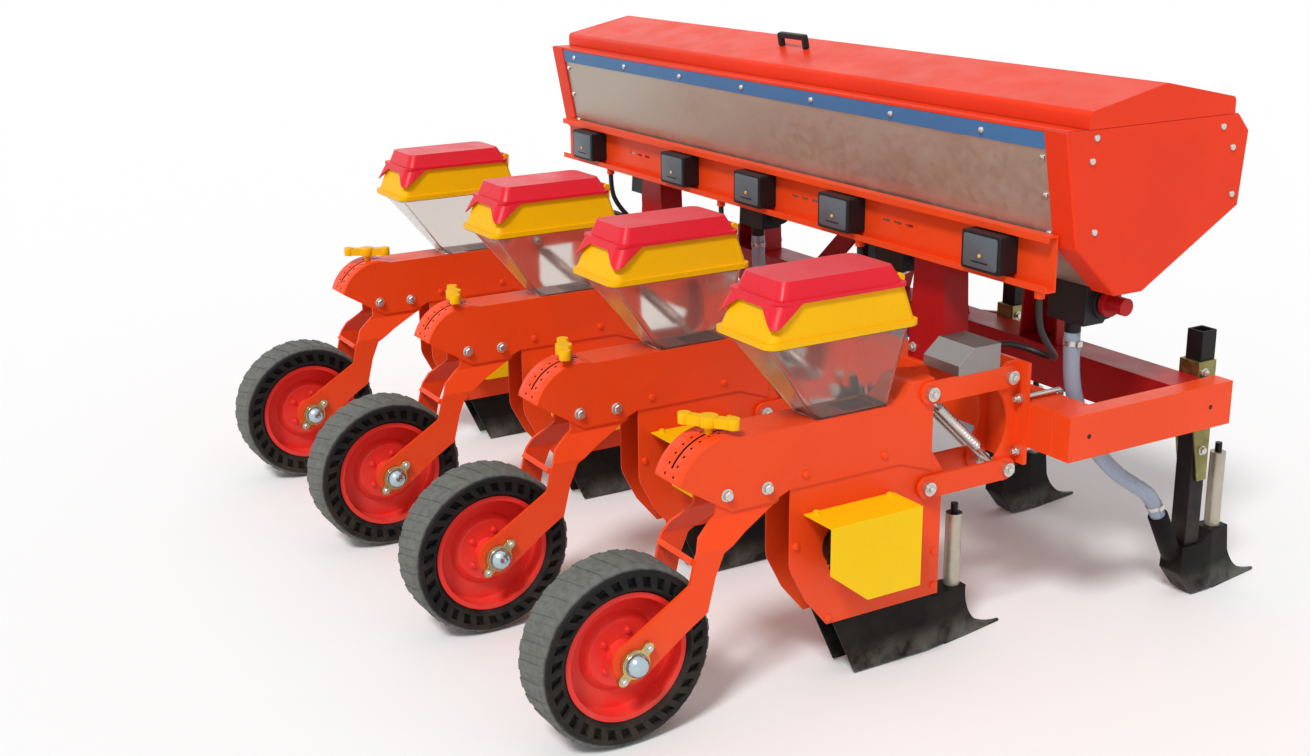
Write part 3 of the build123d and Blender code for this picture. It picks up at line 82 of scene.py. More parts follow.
back = direction(VIEW_TURN, VIEW_SLOPE)
level = UP.cross(back).normalized()
upright = back.cross(level)
sideways = level * cos(VIEW_ROLL) + upright * sin(VIEW_ROLL)
camera_data = bpy.data.cameras.new("camera")
camera_data.lens, camera_data.sensor_width = LENS_MM, SENSOR_MM
camera = bpy.data.objects.new("camera", camera_data)
camera.matrix_world = Matrix((sideways, back.cross(sideways), back)).transposed().to_4x4()
camera.location = CAMERA_PLACE
bpy.context.scene.collection.objects.link(camera)
bpy.context.scene.camera = camera
print("camera", camera.location[:])

# %% [markdown]
# ## Node helpers
# Shaders and Geometry Nodes are both trees of nodes. One small function adds a node, sets its options
# and either links or fills its inputs. Written this way, a tree reads almost like a formula.

# %% Nodes and trees
def feed(tree, socket, value):
    """Links a node's input to another socket, or else sets its value."""
    if isinstance(value, bpy.types.NodeSocket):
        tree.links.new(value, socket)
    else:
        socket.default_value = value


def add(tree, kind, inputs=None, **options):
    """A new node, with its options set and its inputs fed."""
    node = tree.nodes.new(kind)
    for option, value in options.items():
        setattr(node, option, value)
    for key, value in (inputs or {}).items():
        feed(tree, node.inputs[key], value)
    return node


def new_tree(name, kind, inputs, outputs):
    """An empty node group with named sockets; an input is given as (name, socket type, value)."""
    tree = bpy.data.node_groups.new(name, kind)
    for label, socket_type, value in inputs:
        socket = tree.interface.new_socket(label, in_out="INPUT", socket_type="NodeSocket" + socket_type)
        if value is not None:
            socket.default_value = value
    for label, socket_type in outputs:
        tree.interface.new_socket(label, in_out="OUTPUT", socket_type="NodeSocket" + socket_type)
    return tree, add(tree, "NodeGroupInput").outputs, add(tree, "NodeGroupOutput").inputs


print("node names of Blender", bpy.app.version_string)

# %% Sums and noise
NOISE_LOW, NOISE_HIGH = 0.3, 0.7


def calc(tree, operation, *values):
    return add(tree, "ShaderNodeMath", dict(enumerate(values)), operation=operation).outputs[0]


def brighter(tree, colour, swing):
    """The colour, made brighter by a share, or darker where the share is below 0."""
    value = calc(tree, "ADD", 1.0, swing)
    return add(tree, "ShaderNodeHueSaturation", {"Color": colour, "Value": value}).outputs["Color"]


def point_on(tree):
    """The place of the shaded point, in the machine's own frame."""
    return add(tree, "ShaderNodeTexCoord").outputs["Object"]


def spread(tree, value, low, high, to_low=0.0, to_high=1.0):
    """The value's range from low to high, stretched to another range and held at its ends."""
    inputs = {"Value": value, "From Min": low, "From Max": high, "To Min": to_low, "To Max": to_high}
    return add(tree, "ShaderNodeMapRange", inputs).outputs["Result"]


def noise(tree, scale, detail=2.0, roughness=0.5):
    inputs = {"Vector": point_on(tree), "Scale": scale, "Detail": detail, "Roughness": roughness}
    return add(tree, "ShaderNodeTexNoise", inputs).outputs[0]


def clouds(tree, scale, detail, low, high):
    """Noise whose usual range is stretched from low to high."""
    return spread(tree, noise(tree, scale, detail), NOISE_LOW, NOISE_HIGH, low, high)


print("noise stretched from", NOISE_LOW, "to", NOISE_HIGH)

# %% [markdown]
# ## Shared finishes
# Sprayed paint is never one flat colour. It is a little darker where the coat is thin, it has the fine
# orange peel of a spray gun, and its gloss varies. Zinc and bare steel show the grain of their crystals.
# Field dust gathers low down on all of them. Each effect serves many materials, so each is a node group
# that puts out colours and values, and the shader stays in the material itself.

# %% Sprayed paint
SURFACE_OUTPUTS = [("Colour", "Color"), ("Roughness", "Float"), ("Height", "Float")]


def paint_group():
    inputs = [("Colour", "Color", None), ("Mottle", "Float", 0.1), ("Gloss", "Float", 0.3)]
    tree, given, made = new_tree("sprayed_paint", "ShaderNodeTree", inputs, SURFACE_OUTPUTS)
    cloud = clouds(tree, scale=3.0, detail=4.0, low=-1.0, high=1.0)
    speck = spread(tree, noise(tree, scale=70.0), low=0.35, high=0.65, to_low=-0.15, to_high=0.15)
    swing = calc(tree, "MULTIPLY", calc(tree, "ADD", cloud, speck), given["Mottle"])
    smear = clouds(tree, scale=11.0, detail=3.0, low=-0.06, high=0.08)
    feed(tree, made["Colour"], brighter(tree, given["Colour"], swing))
    feed(tree, made["Roughness"], calc(tree, "ADD", given["Gloss"], smear))
    feed(tree, made["Height"], noise(tree, scale=420.0, detail=1.0))
    return tree


PAINT = paint_group()
print("finish group", PAINT.name)

# %% Metal grain
GLOSS_SWING = 0.12


def grain_group():
    inputs = [("Colour", "Color", None), ("Scale", "Float", 40.0), ("Contrast", "Float", 0.2),
              ("Gloss", "Float", 0.35)]
    tree, given, made = new_tree("metal_grain", "ShaderNodeTree", inputs, SURFACE_OUTPUTS)
    crystals = add(tree, "ShaderNodeTexVoronoi", {"Vector": point_on(tree), "Scale": given["Scale"]})
    tone = add(tree, "ShaderNodeSeparateColor", {0: crystals.outputs["Color"]}).outputs["Red"]
    cloud = clouds(tree, scale=5.0, detail=5.0, low=-0.5, high=0.5)
    swing = calc(tree, "ADD", calc(tree, "SUBTRACT", tone, 0.5), cloud)
    contrast = calc(tree, "MULTIPLY", swing, given["Contrast"])
    dull = calc(tree, "ADD", given["Gloss"], calc(tree, "MULTIPLY", swing, GLOSS_SWING))
    feed(tree, made["Colour"], brighter(tree, given["Colour"], contrast))
    feed(tree, made["Roughness"], dull)
    feed(tree, made["Height"], calc(tree, "ADD", tone, noise(tree, scale=180.0, detail=3.0)))
    return tree


GRAIN = grain_group()
print("finish group", GRAIN.name)

# %% Field dust
def srgb(red, green, blue):
    """A colour as it is read off a screen, from 0 to 255, in the light that shaders work with."""
    return tuple(((c / 255 + 0.055) / 1.055) ** 2.4 for c in (red, green, blue)) + (1.0,)


def axes_of(tree):
    """The X, Y and Z of the shaded point."""
    return add(tree, "ShaderNodeSeparateXYZ", {0: point_on(tree)}).outputs


def mix(tree, share, first, second):
    """A colour mix, in which a share of 1 is all of the second colour."""
    node = add(tree, "ShaderNodeMix", {0: share}, data_type="RGBA")
    colours = [socket for socket in node.inputs if socket.type == "RGBA"]
    feed(tree, colours[0], first)
    feed(tree, colours[1], second)
    return next(socket for socket in node.outputs if socket.type == "RGBA")


def dust_group():
    inputs = [("Colour", "Color", None), ("Dust", "Color", srgb(150, 132, 108)),
              ("Clean above", "Float", 0.4), ("Amount", "Float", 0.3)]
    outputs = [("Colour", "Color"), ("Mask", "Float")]
    tree, given, made = new_tree("field_dust", "ShaderNodeTree", inputs, outputs)
    rise = calc(tree, "DIVIDE", axes_of(tree)["Z"], given["Clean above"])
    low = calc(tree, "MAXIMUM", calc(tree, "SUBTRACT", 1.0, rise), 0.0)
    patch = spread(tree, noise(tree, scale=16.0, detail=6.0, roughness=0.65), low=0.38, high=0.68)
    share = calc(tree, "MULTIPLY", calc(tree, "MULTIPLY", low, patch), given["Amount"])
    feed(tree, made["Colour"], mix(tree, share, given["Colour"], given["Dust"]))
    feed(tree, made["Mask"], share)
    return tree


DUST = dust_group()
print("finish group", DUST.name)

# %% [markdown]
# ## Materials
# A finish is a Principled shader fed by the groups. What is the same all over a surface, such as the clear
# coat, is set on the shader's own socket. Bump distances are real: the peel of paint is 0.04 mm deep, and
# the spangle of zinc a little less.

# %% Material makers
PAINT_PEEL, PLASTIC_GRAIN, SPANGLE, RUBBER_GRAIN = 0.00004, 0.00008, 0.00003, 0.0002
BUMP_STRENGTH, DUST_DULL, COAT_ROUGHNESS = 0.6, 0.5, 0.12
# the height above which a surface is clean, and how dusty it is at the ground
LIGHT_DUST = (0.3, 0.25)


def finish_material(name, group, colour, values, dust=LIGHT_DUST, bump=PAINT_PEEL, **shader):
    """A material whose colour, gloss and relief come from a group, with field dust low down.

    What else is given by name is set on the shader's own socket of that name.
    """
    material = bpy.data.materials.new(name)
    material.use_nodes = True
    tree = material.node_tree
    surface = tree.nodes["Principled BSDF"].inputs
    coat = add(tree, "ShaderNodeGroup", {"Colour": colour, **values}, node_tree=group)
    clean_above, amount = dust
    soiling = {"Colour": coat.outputs["Colour"], "Clean above": clean_above, "Amount": amount}
    soil = add(tree, "ShaderNodeGroup", soiling, node_tree=DUST)
    dull = calc(tree, "MULTIPLY", soil.outputs["Mask"], DUST_DULL)
    height = {"Height": coat.outputs["Height"], "Distance": bump, "Strength": BUMP_STRENGTH}
    feed(tree, surface["Base Color"], soil.outputs["Colour"])
    feed(tree, surface["Roughness"], calc(tree, "ADD", coat.outputs["Roughness"], dull))
    feed(tree, surface["Normal"], add(tree, "ShaderNodeBump", height).outputs["Normal"])
    for key, value in shader.items():
        surface[key.replace("_", " ")].default_value = value
    return material


def smooth_coat(name, colour, gloss, mottle, **other):
    return finish_material(name, PAINT, colour, {"Mottle": mottle, "Gloss": gloss}, **other)


def paint(name, colour, gloss=0.36, mottle=0.06, coat=0.04, shine=0.2):
    return smooth_coat(name, colour, gloss, mottle, Coat_Weight=coat, Coat_Roughness=COAT_ROUGHNESS,
                       Specular_IOR_Level=shine)


def plastic(name, colour, gloss=0.4, mottle=0.06, **shader):
    return smooth_coat(name, colour, gloss, mottle, bump=PLASTIC_GRAIN, **shader)


def metal(name, colour, gloss=0.35, scale=60.0, contrast=0.2, metallic=0.9, **shader):
    values = {"Scale": scale, "Contrast": contrast, "Gloss": gloss}
    return finish_material(name, GRAIN, colour, values, bump=SPANGLE, Metallic=metallic, **shader)


print("paint peel", PAINT_PEEL, "and zinc spangle", SPANGLE)

# %% Materials of the record's slots
ORANGE, CASE_BLACK = srgb(236, 72, 24), srgb(22, 22, 23)
CASE = dict(gloss=0.48, mottle=0.15, Specular_IOR_Level=0.3)
FINISH_TABLE = [
    (paint, "frame_paint", ORANGE, {}),
    # hitch_paint is darker than hopper_red partly as painted shade: the lit sides of the hitch's parts are near
    # the hopper's red
    (paint, "hitch_paint", srgb(170, 20, 25), {}),
    (paint, "hopper_red", srgb(228, 56, 24), dict(shine=0.12)),
    (paint, "rim_red", srgb(236, 54, 46), {}),
    (paint, "yellow_metal", srgb(242, 196, 8), dict(mottle=0.04, shine=0.12)),
    (paint, "blue_strip", srgb(66, 116, 166), {}),
    (paint, "black_metal", srgb(22, 21, 21), dict(gloss=0.45, mottle=0.2)),
    (metal, "steel_sheet", srgb(178, 167, 155), dict(gloss=0.42, scale=70.0, contrast=0.07, metallic=0.75)),
    (metal, "zinc", srgb(205, 205, 200), dict(gloss=0.3, scale=160.0, contrast=0.06)),
    (metal, "sleeve_grey", srgb(186, 180, 164), dict(gloss=0.42, scale=90.0, contrast=0.16)),
    (metal, "olive_zinc", srgb(140, 134, 84), dict(gloss=0.4, scale=50.0, contrast=0.3)),
    (plastic, "yellow_plastic", srgb(240, 180, 2), dict(gloss=0.34, mottle=0.04, Specular_IOR_Level=0.12)),
    (plastic, "lid_red", srgb(220, 27, 46), dict(gloss=0.32, mottle=0.05, Specular_IOR_Level=0.25)),
    (plastic, "black_plastic", CASE_BLACK, CASE),
    (plastic, "cable_black", srgb(20, 20, 21), dict(gloss=0.5, mottle=0.15)),
    (plastic, "hose_clear", srgb(168, 182, 202), dict(gloss=0.3, mottle=0.08, Transmission_Weight=0.35)),
    (plastic, "bin_clear", srgb(240, 236, 232),
     dict(gloss=0.08, mottle=0.01, Transmission_Weight=0.95, IOR=1.15)),
]
finishes = {slot: maker(slot, colour, **options) for maker, slot, colour, options in FINISH_TABLE}
print(len(finishes), "finishes")

# %% [markdown]
# ## Finishes that change over one piece
# Some pieces carry two finishes. The tread is scuffed grey and the side walls are black, openers are worn
# bare near the ground, sleeves end in a black nipple, holes get painted shade inside, and a bearing's flange
# is yellow zinc round a cap whose blue-grey is a painted sky reflection. A mask from the place of a point
# tells one from the other: its height, or its distance from a line across the machine, such as the one that
# the four wheel axles lie on. A picture wrapped round the piece could do that too, but a mask needs no
# wrapping and stays sharp from close by. The controllers' covers come last: they are only a duller sheet
# than the other zinc.

# %% Masks
def from_line(tree, y, z):
    """How far a point lies from a line across the machine at a height z, y ahead of the wheel axles."""
    axes = axes_of(tree)
    along, above = calc(tree, "SUBTRACT", axes["Y"], AXLE_Y + y), calc(tree, "SUBTRACT", axes["Z"], z)
    squares = [calc(tree, "MULTIPLY", value, value) for value in (along, above)]
    return calc(tree, "SQRT", calc(tree, "ADD", *squares))


def from_axle(tree):
    return from_line(tree, 0.0, AXLE_Z)


def repaint(material, share, colour):
    """Changes a material's colour to another one where the share is 1."""
    tree = material.node_tree
    base = tree.nodes["Principled BSDF"].inputs["Base Color"]
    feed(tree, base, mix(tree, share, base.links[0].from_socket, colour))


print("axle line at y", round(AXLE_Y, 4), "and z", round(AXLE_Z, 4))

# %% Tyre rubber
WHEEL_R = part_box("tyre_1")[1].z - AXLE_Z
TREAD_EDGE, TREAD_BLUR, RAGGED = WHEEL_R - 0.010, 0.004, 0.003
TYRE_DUST = (0.4, 0.12)


def tyre_rubber():
    """Black rubber with a scuffed grey tread, which starts at a ragged line."""
    material = smooth_coat("tyre_rubber", srgb(19, 19, 20), gloss=0.66, mottle=0.2, dust=TYRE_DUST,
                           bump=RUBBER_GRAIN, Specular_IOR_Level=0.2)
    tree = material.node_tree
    ragged = calc(tree, "ADD", from_axle(tree), calc(tree, "MULTIPLY", noise(tree, scale=60.0), RAGGED))
    tread = spread(tree, ragged, TREAD_EDGE, TREAD_EDGE + TREAD_BLUR)
    scuff = clouds(tree, scale=70.0, detail=5.0, low=0.66, high=1.0)
    repaint(material, calc(tree, "MULTIPLY", tread, scuff), srgb(110, 111, 106))
    return material


finishes["tyre_rubber"] = tyre_rubber()
print("tread from a radius of", round(TREAD_EDGE, 3))

# %% Worn openers
WEAR_TOP, WEAR_MOST = 0.07, 0.85
OPENER_DUST = (0.2, 0.06)


def worn_steel():
    """Black steel that soil has rubbed bare in patches, most of all at the ground."""
    material = smooth_coat("worn_steel", srgb(16, 14, 12), gloss=0.5, mottle=0.25, dust=OPENER_DUST,
                           Specular_IOR_Level=0.12)
    tree = material.node_tree
    low = spread(tree, axes_of(tree)["Z"], WEAR_TOP, 0.0, to_high=WEAR_MOST)
    patch = spread(tree, noise(tree, scale=14.0, detail=5.0, roughness=0.6), low=0.38, high=0.62)
    repaint(material, calc(tree, "MULTIPLY", low, patch), srgb(112, 110, 104))
    return material


OPENER_STEEL = worn_steel()
own_finish = {"seed_openers": OPENER_STEEL, "fert_boots": OPENER_STEEL}
print("worn below", WEAR_TOP)

# %% Paint with painted shade in holes
# painted shade: the dark colour that holes and slots show inside, painted onto the surface
HOLE_SHADE = srgb(40, 14, 10)
# each hole in the side rails, as y ahead of the axle and z
RAIL_HOLES, RAIL_HOLE_R, HOLE_BLUR = [(1.030, 0.490), (1.395, 0.490)], 0.006, 0.001
# the arch of the depth scale: y and z of its middle, its radius, and half its width
SCALE_CENTRE, SCALE_R, SCALE_HALF = (0.231, 0.478), 0.115, 0.0195
# the depths under the arch between which painted shade darkens its paint
SCALE_LIP, SCALE_DEEP = 0.0006, 0.009
ROW_HALF = (HUBS[1].x - HUBS[0].x) / 2


def hole_shade_paint():
    """The side rails' paint, with the shade of small holes in their outer faces painted on as dark discs."""
    material = paint("hole_shade_paint", ORANGE)
    tree = material.node_tree
    for y, z in RAIL_HOLES:
        # painted shade: a dark disc where each hole would show its shaded inside
        hole = spread(tree, from_line(tree, y, z), RAIL_HOLE_R, RAIL_HOLE_R - HOLE_BLUR)
        repaint(material, hole, HOLE_SHADE)
    return material


def scale_shade_paint():
    """The unit bodies' paint, with painted shade inside the slot and the holes of their depth scale."""
    material = paint("scale_shade_paint", ORANGE)
    tree = material.node_tree
    depth = calc(tree, "SUBTRACT", SCALE_R, from_line(tree, *SCALE_CENTRE))
    below, above = calc(tree, "GREATER_THAN", depth, SCALE_LIP), calc(tree, "LESS_THAN", depth, SCALE_DEEP)
    from_first = calc(tree, "SUBTRACT", axes_of(tree)["X"], HUBS[0].x)
    # folded back at every half row, so that it counts from the nearest row's middle
    from_row = calc(tree, "PINGPONG", from_first, ROW_HALF)
    across = calc(tree, "LESS_THAN", from_row, SCALE_HALF)
    inside = calc(tree, "MULTIPLY", calc(tree, "MULTIPLY", below, above), across)
    # painted shade: the slot's walls and holes are painted dark, as shade inside them would make them
    repaint(material, inside, HOLE_SHADE)
    return material


own_finish["side_rails"] = hole_shade_paint()
own_finish["unit_bodies"] = scale_shade_paint()
print(len(RAIL_HOLES), "holes in each rail")

# %% Sleeves, meters, bearings and controllers
NIPPLE_H, NIPPLE_BLACK = 0.022, srgb(24, 24, 25)
NECK_FROM = 0.44
CAP_R, FLANGE_YELLOW = 0.0255, srgb(196, 178, 116)


def repaint_above(material, height, colour):
    tree = material.node_tree
    repaint(material, calc(tree, "GREATER_THAN", axes_of(tree)["Z"], height), colour)
    return material


def sleeve_finish(node):
    """A grey sleeve with a black nipple on its top."""
    material = metal(node, srgb(180, 174, 158), gloss=0.36, scale=90.0, contrast=0.1, metallic=0.6)
    return repaint_above(material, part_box(node)[1].z - NIPPLE_H, NIPPLE_BLACK)


def meter_finish():
    """A black meter case, whose feed neck under the seed bin is painted as the body is."""
    return repaint_above(plastic("meter_case", CASE_BLACK, **CASE), NECK_FROM, ORANGE)


def bearing_zinc_painted_sky():
    """A cap whose blue-grey colour is a painted sky reflection, on a flange of yellow zinc."""
    # painted reflection: the cap's base colour is tinted blue-grey for the sky it reflects
    material = metal("bearing_zinc_painted_sky", srgb(180, 200, 208), gloss=0.2, scale=160.0, contrast=0.08)
    tree = material.node_tree
    repaint(material, calc(tree, "GREATER_THAN", from_axle(tree), CAP_R), FLANGE_YELLOW)
    return material


for sleeve_node in ("seed_sleeves", "fert_sleeves"):
    own_finish[sleeve_node] = sleeve_finish(sleeve_node)
own_finish["seed_meters"] = meter_finish()
own_finish["hub_bearings"] = bearing_zinc_painted_sky()
own_finish["controllers"] = metal("folded_sheet", srgb(148, 145, 142), gloss=0.4, scale=24.0, contrast=0.1)
print("own finishes", list(own_finish))

# %% [markdown]
# ## Dressing the solids
# Each solid gets its own finish from above, or else that of its slot in the record. Sheet metal and
# castings never have razor edges, and a thin bevel is what catches the light along them. The solids arrive
# as loose triangles, so they are welded and their flat areas dissolved before the bevel, all as modifiers:
# the solid itself stays as it is. Round solids and those that are replaced below need no bevel.

# %% Dress the solids
EDGE, FINE_EDGE, EDGE_ANGLE = 0.0018, 0.0008, radians(40)
WELD_GAP, FLAT_ANGLE = 0.00002, radians(0.5)
SMOOTH_NODES = ("link_springs", "link_pins", "fert_hose", "unit_cable", "tyre", "meter_shaft", "hitch_pins",
                "fert_sleeves", "seed_sleeves")
FINE_NODES = ("hopper_strip", "hopper_hinges", "seed_bins", "seed_collars", "monitor_bar", "hopper_trough",
              "chain_guards", "rim_")


def soften(part, width):
    weld = part.modifiers.new("weld", "WELD")
    weld.merge_threshold = WELD_GAP
    flat = part.modifiers.new("flat", "DECIMATE")
    flat.decimate_type = "DISSOLVE"
    flat.angle_limit = FLAT_ANGLE
    edge = part.modifiers.new("edge", "BEVEL")
    edge.width = width
    edge.segments = 2
    edge.limit_method = "ANGLE"
    edge.angle_limit = EDGE_ANGLE
    edge.harden_normals = True


slot_of = {row["node"]: row["material_slot"] for row in frame["record"]["subparts"]}
for name, part in frame["nodes"].items():
    part.data.materials.clear()
    part.data.materials.append(own_finish.get(name, finishes[slot_of[name]]))
    if not name.startswith(SMOOTH_NODES):
        soften(part, FINE_EDGE if name.startswith(FINE_NODES) else EDGE)
print("dressed", len(slot_of), "solids")

# %% [markdown]
# ## Pieces from meshes and from Geometry Nodes
# A piece made here is a plain mesh that sits at the origin, with its place in its vertices. What repeats
# is made by Geometry Nodes: a small shape is put on every point of a cloud, turned to the point's own
# direction and made real, because the export keeps no instances.

# %% Piece helpers
SHARP_DEG = 35


def link(data, name):
    piece = bpy.data.objects.new(name, data)
    bpy.context.scene.collection.objects.link(piece)
    return piece


def mesh_of(shape, name):
    mesh = bpy.data.meshes.new(name)
    shape.to_mesh(mesh)
    shape.free()
    return mesh


def pattern(shape, name):
    """An object for Geometry Nodes to copy; it isn't linked to the scene, so it isn't rendered."""
    return bpy.data.objects.new(name, mesh_of(shape, name))


def smooth(mesh):
    """Smooth shading, with sharp edges where faces meet at a clear angle."""
    mesh.polygons.foreach_set("use_smooth", [True] * len(mesh.polygons))
    mesh.set_sharp_from_angle(angle=radians(SHARP_DEG))


def placed(mesh, name, body):
    """A finished mesh as a piece that rides on a body."""
    piece = link(mesh, name)
    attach(piece, body)
    print(name, len(mesh.polygons), "faces")
    return piece


def turned_shape(name, outline, steps, hollow=False):
    """A pattern turned round Z from (radius, height) points; a hollow one is a ring and has no end faces."""
    shape = bmesh.new()
    turns = [2 * pi * k / steps for k in range(steps)]
    rings = [[shape.verts.new((radius * cos(turn), radius * sin(turn), height)) for turn in turns]
             for radius, height in outline]
    for low, high in zip(rings, rings[1:] + rings[:1] if hollow else rings[1:]):
        for k in range(steps):
            shape.faces.new((low[k], low[(k + 1) % steps], high[(k + 1) % steps], high[k]))
    if not hollow:
        shape.faces.new(rings[-1])
        shape.faces.new(list(reversed(rings[0])))
    return pattern(shape, name)


print("edges stay sharp over", SHARP_DEG, "degrees")

# %% Scatter tree
def grown(template, tree, values):
    """The mesh that a Geometry Nodes tree makes from a template object, which is then dropped."""
    modifier = template.modifiers.new("tree", "NODES")
    modifier.node_group = tree
    ids = {item.name: item.identifier for item in tree.interface.items_tree if item.in_out == "INPUT"}
    for key, value in values.items():
        modifier[ids[key]] = value
    evaluated = template.evaluated_get(bpy.context.evaluated_depsgraph_get())
    mesh = bpy.data.meshes.new_from_object(evaluated)
    bpy.data.objects.remove(template)
    return mesh


def shape_tree(name, sockets):
    """An empty Geometry Nodes tree: each takes a geometry and a finish, and puts out a geometry."""
    sockets = [("Geometry", "Geometry", None), *sockets, ("Finish", "Material", None)]
    return new_tree(name, "GeometryNodeTree", sockets, [("Geometry", "Geometry")])


def finish_tree(tree, geometry, given, made):
    """The end of every tree: real meshes with their finish."""
    real = add(tree, "GeometryNodeRealizeInstances", {0: geometry}).outputs[0]
    done = add(tree, "GeometryNodeSetMaterial", {"Geometry": real, "Material": given["Finish"]}).outputs[0]
    feed(tree, made["Geometry"], done)


def scatter_tree():
    tree, given, made = shape_tree("scatter", [("Shape", "Object", None), ("Size", "Float", 1.0)])
    shape = add(tree, "GeometryNodeObjectInfo", {"Object": given["Shape"]}).outputs["Geometry"]
    aim = add(tree, "GeometryNodeInputNamedAttribute", {"Name": "aim"}, data_type="FLOAT_VECTOR").outputs[0]
    size = add(tree, "GeometryNodeInputNamedAttribute", {"Name": "size"}, data_type="FLOAT").outputs[0]
    turn = add(tree, "FunctionNodeAlignRotationToVector", {"Vector": aim}, axis="Z").outputs[0]
    scale = calc(tree, "MULTIPLY", size, given["Size"])
    copying = {"Points": given["Geometry"], "Instance": shape, "Rotation": turn, "Scale": scale}
    finish_tree(tree, add(tree, "GeometryNodeInstanceOnPoints", copying).outputs[0], given, made)
    return tree


def scatter(name, shape, points, slot, body=BODY, finish=None):
    """A piece with the shape on each point, given as (place, direction, size)."""
    mesh = bpy.data.meshes.new(name + "_points")
    mesh.from_pydata([place for place, aim, size in points], [], [])
    aims = mesh.attributes.new("aim", "FLOAT_VECTOR", "POINT")
    aims.data.foreach_set("vector", [c for place, aim, size in points for c in aim])
    sizes = mesh.attributes.new("size", "FLOAT", "POINT")
    sizes.data.foreach_set("value", [size for place, aim, size in points])
    values = {"Shape": shape, "Finish": finish or finishes[slot]}
    made = grown(link(mesh, name + "_points"), SCATTER, values)
    smooth(made)
    return placed(made, name, body)


SCATTER = scatter_tree()
print("tree", SCATTER.name, "with", len(SCATTER.nodes), "nodes")

# %% [markdown]
# ## Tyres
# A press wheel's tyre is a soft ring that closes the seed furrow. Its side walls have a row of slanted
# pockets, and low slanted lugs cross its tread. A texture could paint them, but pockets cast shadows, so
# they are modelled. One pitch of the ring is drawn, and Geometry Nodes turn it round the axle and
# merge the pitches into one closed skin.

# %% One pitch of the tyre
PITCHES = 30
# in pitches: how wide a pocket is, and how far a wall and the tread slant
POCKET_SHARE, WALL_LEAN, TREAD_LEAN = 0.56, 0.45, 0.6
POCKET_DEPTH, POCKET_TAPER, LUG_H = 0.011, 0.0015, 0.0022
TYRE_HALF, BEAD_HALF, CROWN_HALF = 0.054, 0.0422, 0.040
# radii from the bead out: its seat and lip, the flat side wall with its pocket, and the lugs' tops
SEAT_R, LIP_R, WALL_LOW, WALL_HIGH = 0.1263, 0.1333, 0.1403, WHEEL_R - 0.014
POCKET_LOW, POCKET_HIGH = 0.1455, 0.1675
CROWN_R = WHEEL_R - 0.0002


def tyre_pitch():
    """One pitch of the tyre round X, with a pocket on each side and one lug."""
    pitch = 2 * pi / PITCHES
    edges = [share * pitch / 2 for share in (-1, -POCKET_SHARE, POCKET_SHARE, 1)]
    shape = bmesh.new()

    def spot(x, radius, turn):
        return shape.verts.new((x, radius * cos(turn), radius * sin(turn)))

    def ring(x, radius, lean):
        return [spot(x, radius, edge + lean * pitch) for edge in edges]

    def skin(low, high):
        for k in range(len(low) - 1):
            shape.faces.new((low[k], low[k + 1], high[k + 1], high[k]))

    def wall(side, lean):
        """A side wall from its bead to its shoulder, with the pocket cut into it."""
        rows = [ring(side * BEAD_HALF, SEAT_R, lean), ring(side * BEAD_HALF, LIP_R, lean)]
        for radius in (WALL_LOW, POCKET_LOW, POCKET_HIGH, WALL_HIGH):
            share = (radius - WALL_LOW) / (WALL_HIGH - WALL_LOW)
            rows.append(ring(side * TYRE_HALF, radius, lean + WALL_LEAN * share))
        pocket_low, pocket_high = rows[3:5]
        for low, high in zip(rows, rows[1:]):
            if low is pocket_low:
                skin(low[:2], high[:2])
                skin(low[2:], high[2:])
            else:
                skin(low, high)
        mouth = [pocket_low[1], pocket_low[2], pocket_high[2], pocket_high[1]]
        middle = sum((corner.co for corner in mouth), Vector()) / 4
        floor = []
        for corner in mouth:
            inward = (middle - corner.co).normalized() * POCKET_TAPER
            floor.append(shape.verts.new(corner.co + inward - Vector((side * POCKET_DEPTH, 0, 0))))
        skin(mouth + mouth[:1], floor + floor[:1])
        shape.faces.new(floor)
        return rows

    right, left = wall(1, 0.0), wall(-1, TREAD_LEAN)
    floors, tops = [], []
    for x in (CROWN_HALF, 0.0, -CROWN_HALF):
        lean = WALL_LEAN + TREAD_LEAN * (TYRE_HALF - x) / (2 * TYRE_HALF)
        floors.append(ring(x, CROWN_R - LUG_H, lean))
        tops.append([spot(x, CROWN_R, edge + lean * pitch) for edge in edges[1:3]])
    # the tread: its floor on both sides of the lug, the lug's top and its two flanks
    for k in range(2):
        skin(floors[k][:2], floors[k + 1][:2])
        skin(floors[k][2:], floors[k + 1][2:])
        skin(tops[k], tops[k + 1])
        for j in range(2):
            skin([floors[k][j + 1], tops[k][j]], [floors[k + 1][j + 1], tops[k + 1][j]])
    # the shoulders, from each side wall up to the tread, and the seat that joins the beads
    for shoulder, k in ((right[-1], 0), (left[-1], 2)):
        skin(shoulder[:2], floors[k][:2])
        skin(shoulder[2:], floors[k][2:])
        skin(shoulder[1:3], tops[k])
        for j in range(2):
            shape.faces.new((shoulder[j + 1], floors[k][j + 1], tops[k][j]))
    skin(left[0], right[0])
    return pattern(shape, "tyre_pitch")


PITCH = tyre_pitch()
print("one pitch", len(PITCH.data.polygons), "faces")

# %% The ring tree
MERGE_GAP = 0.0001


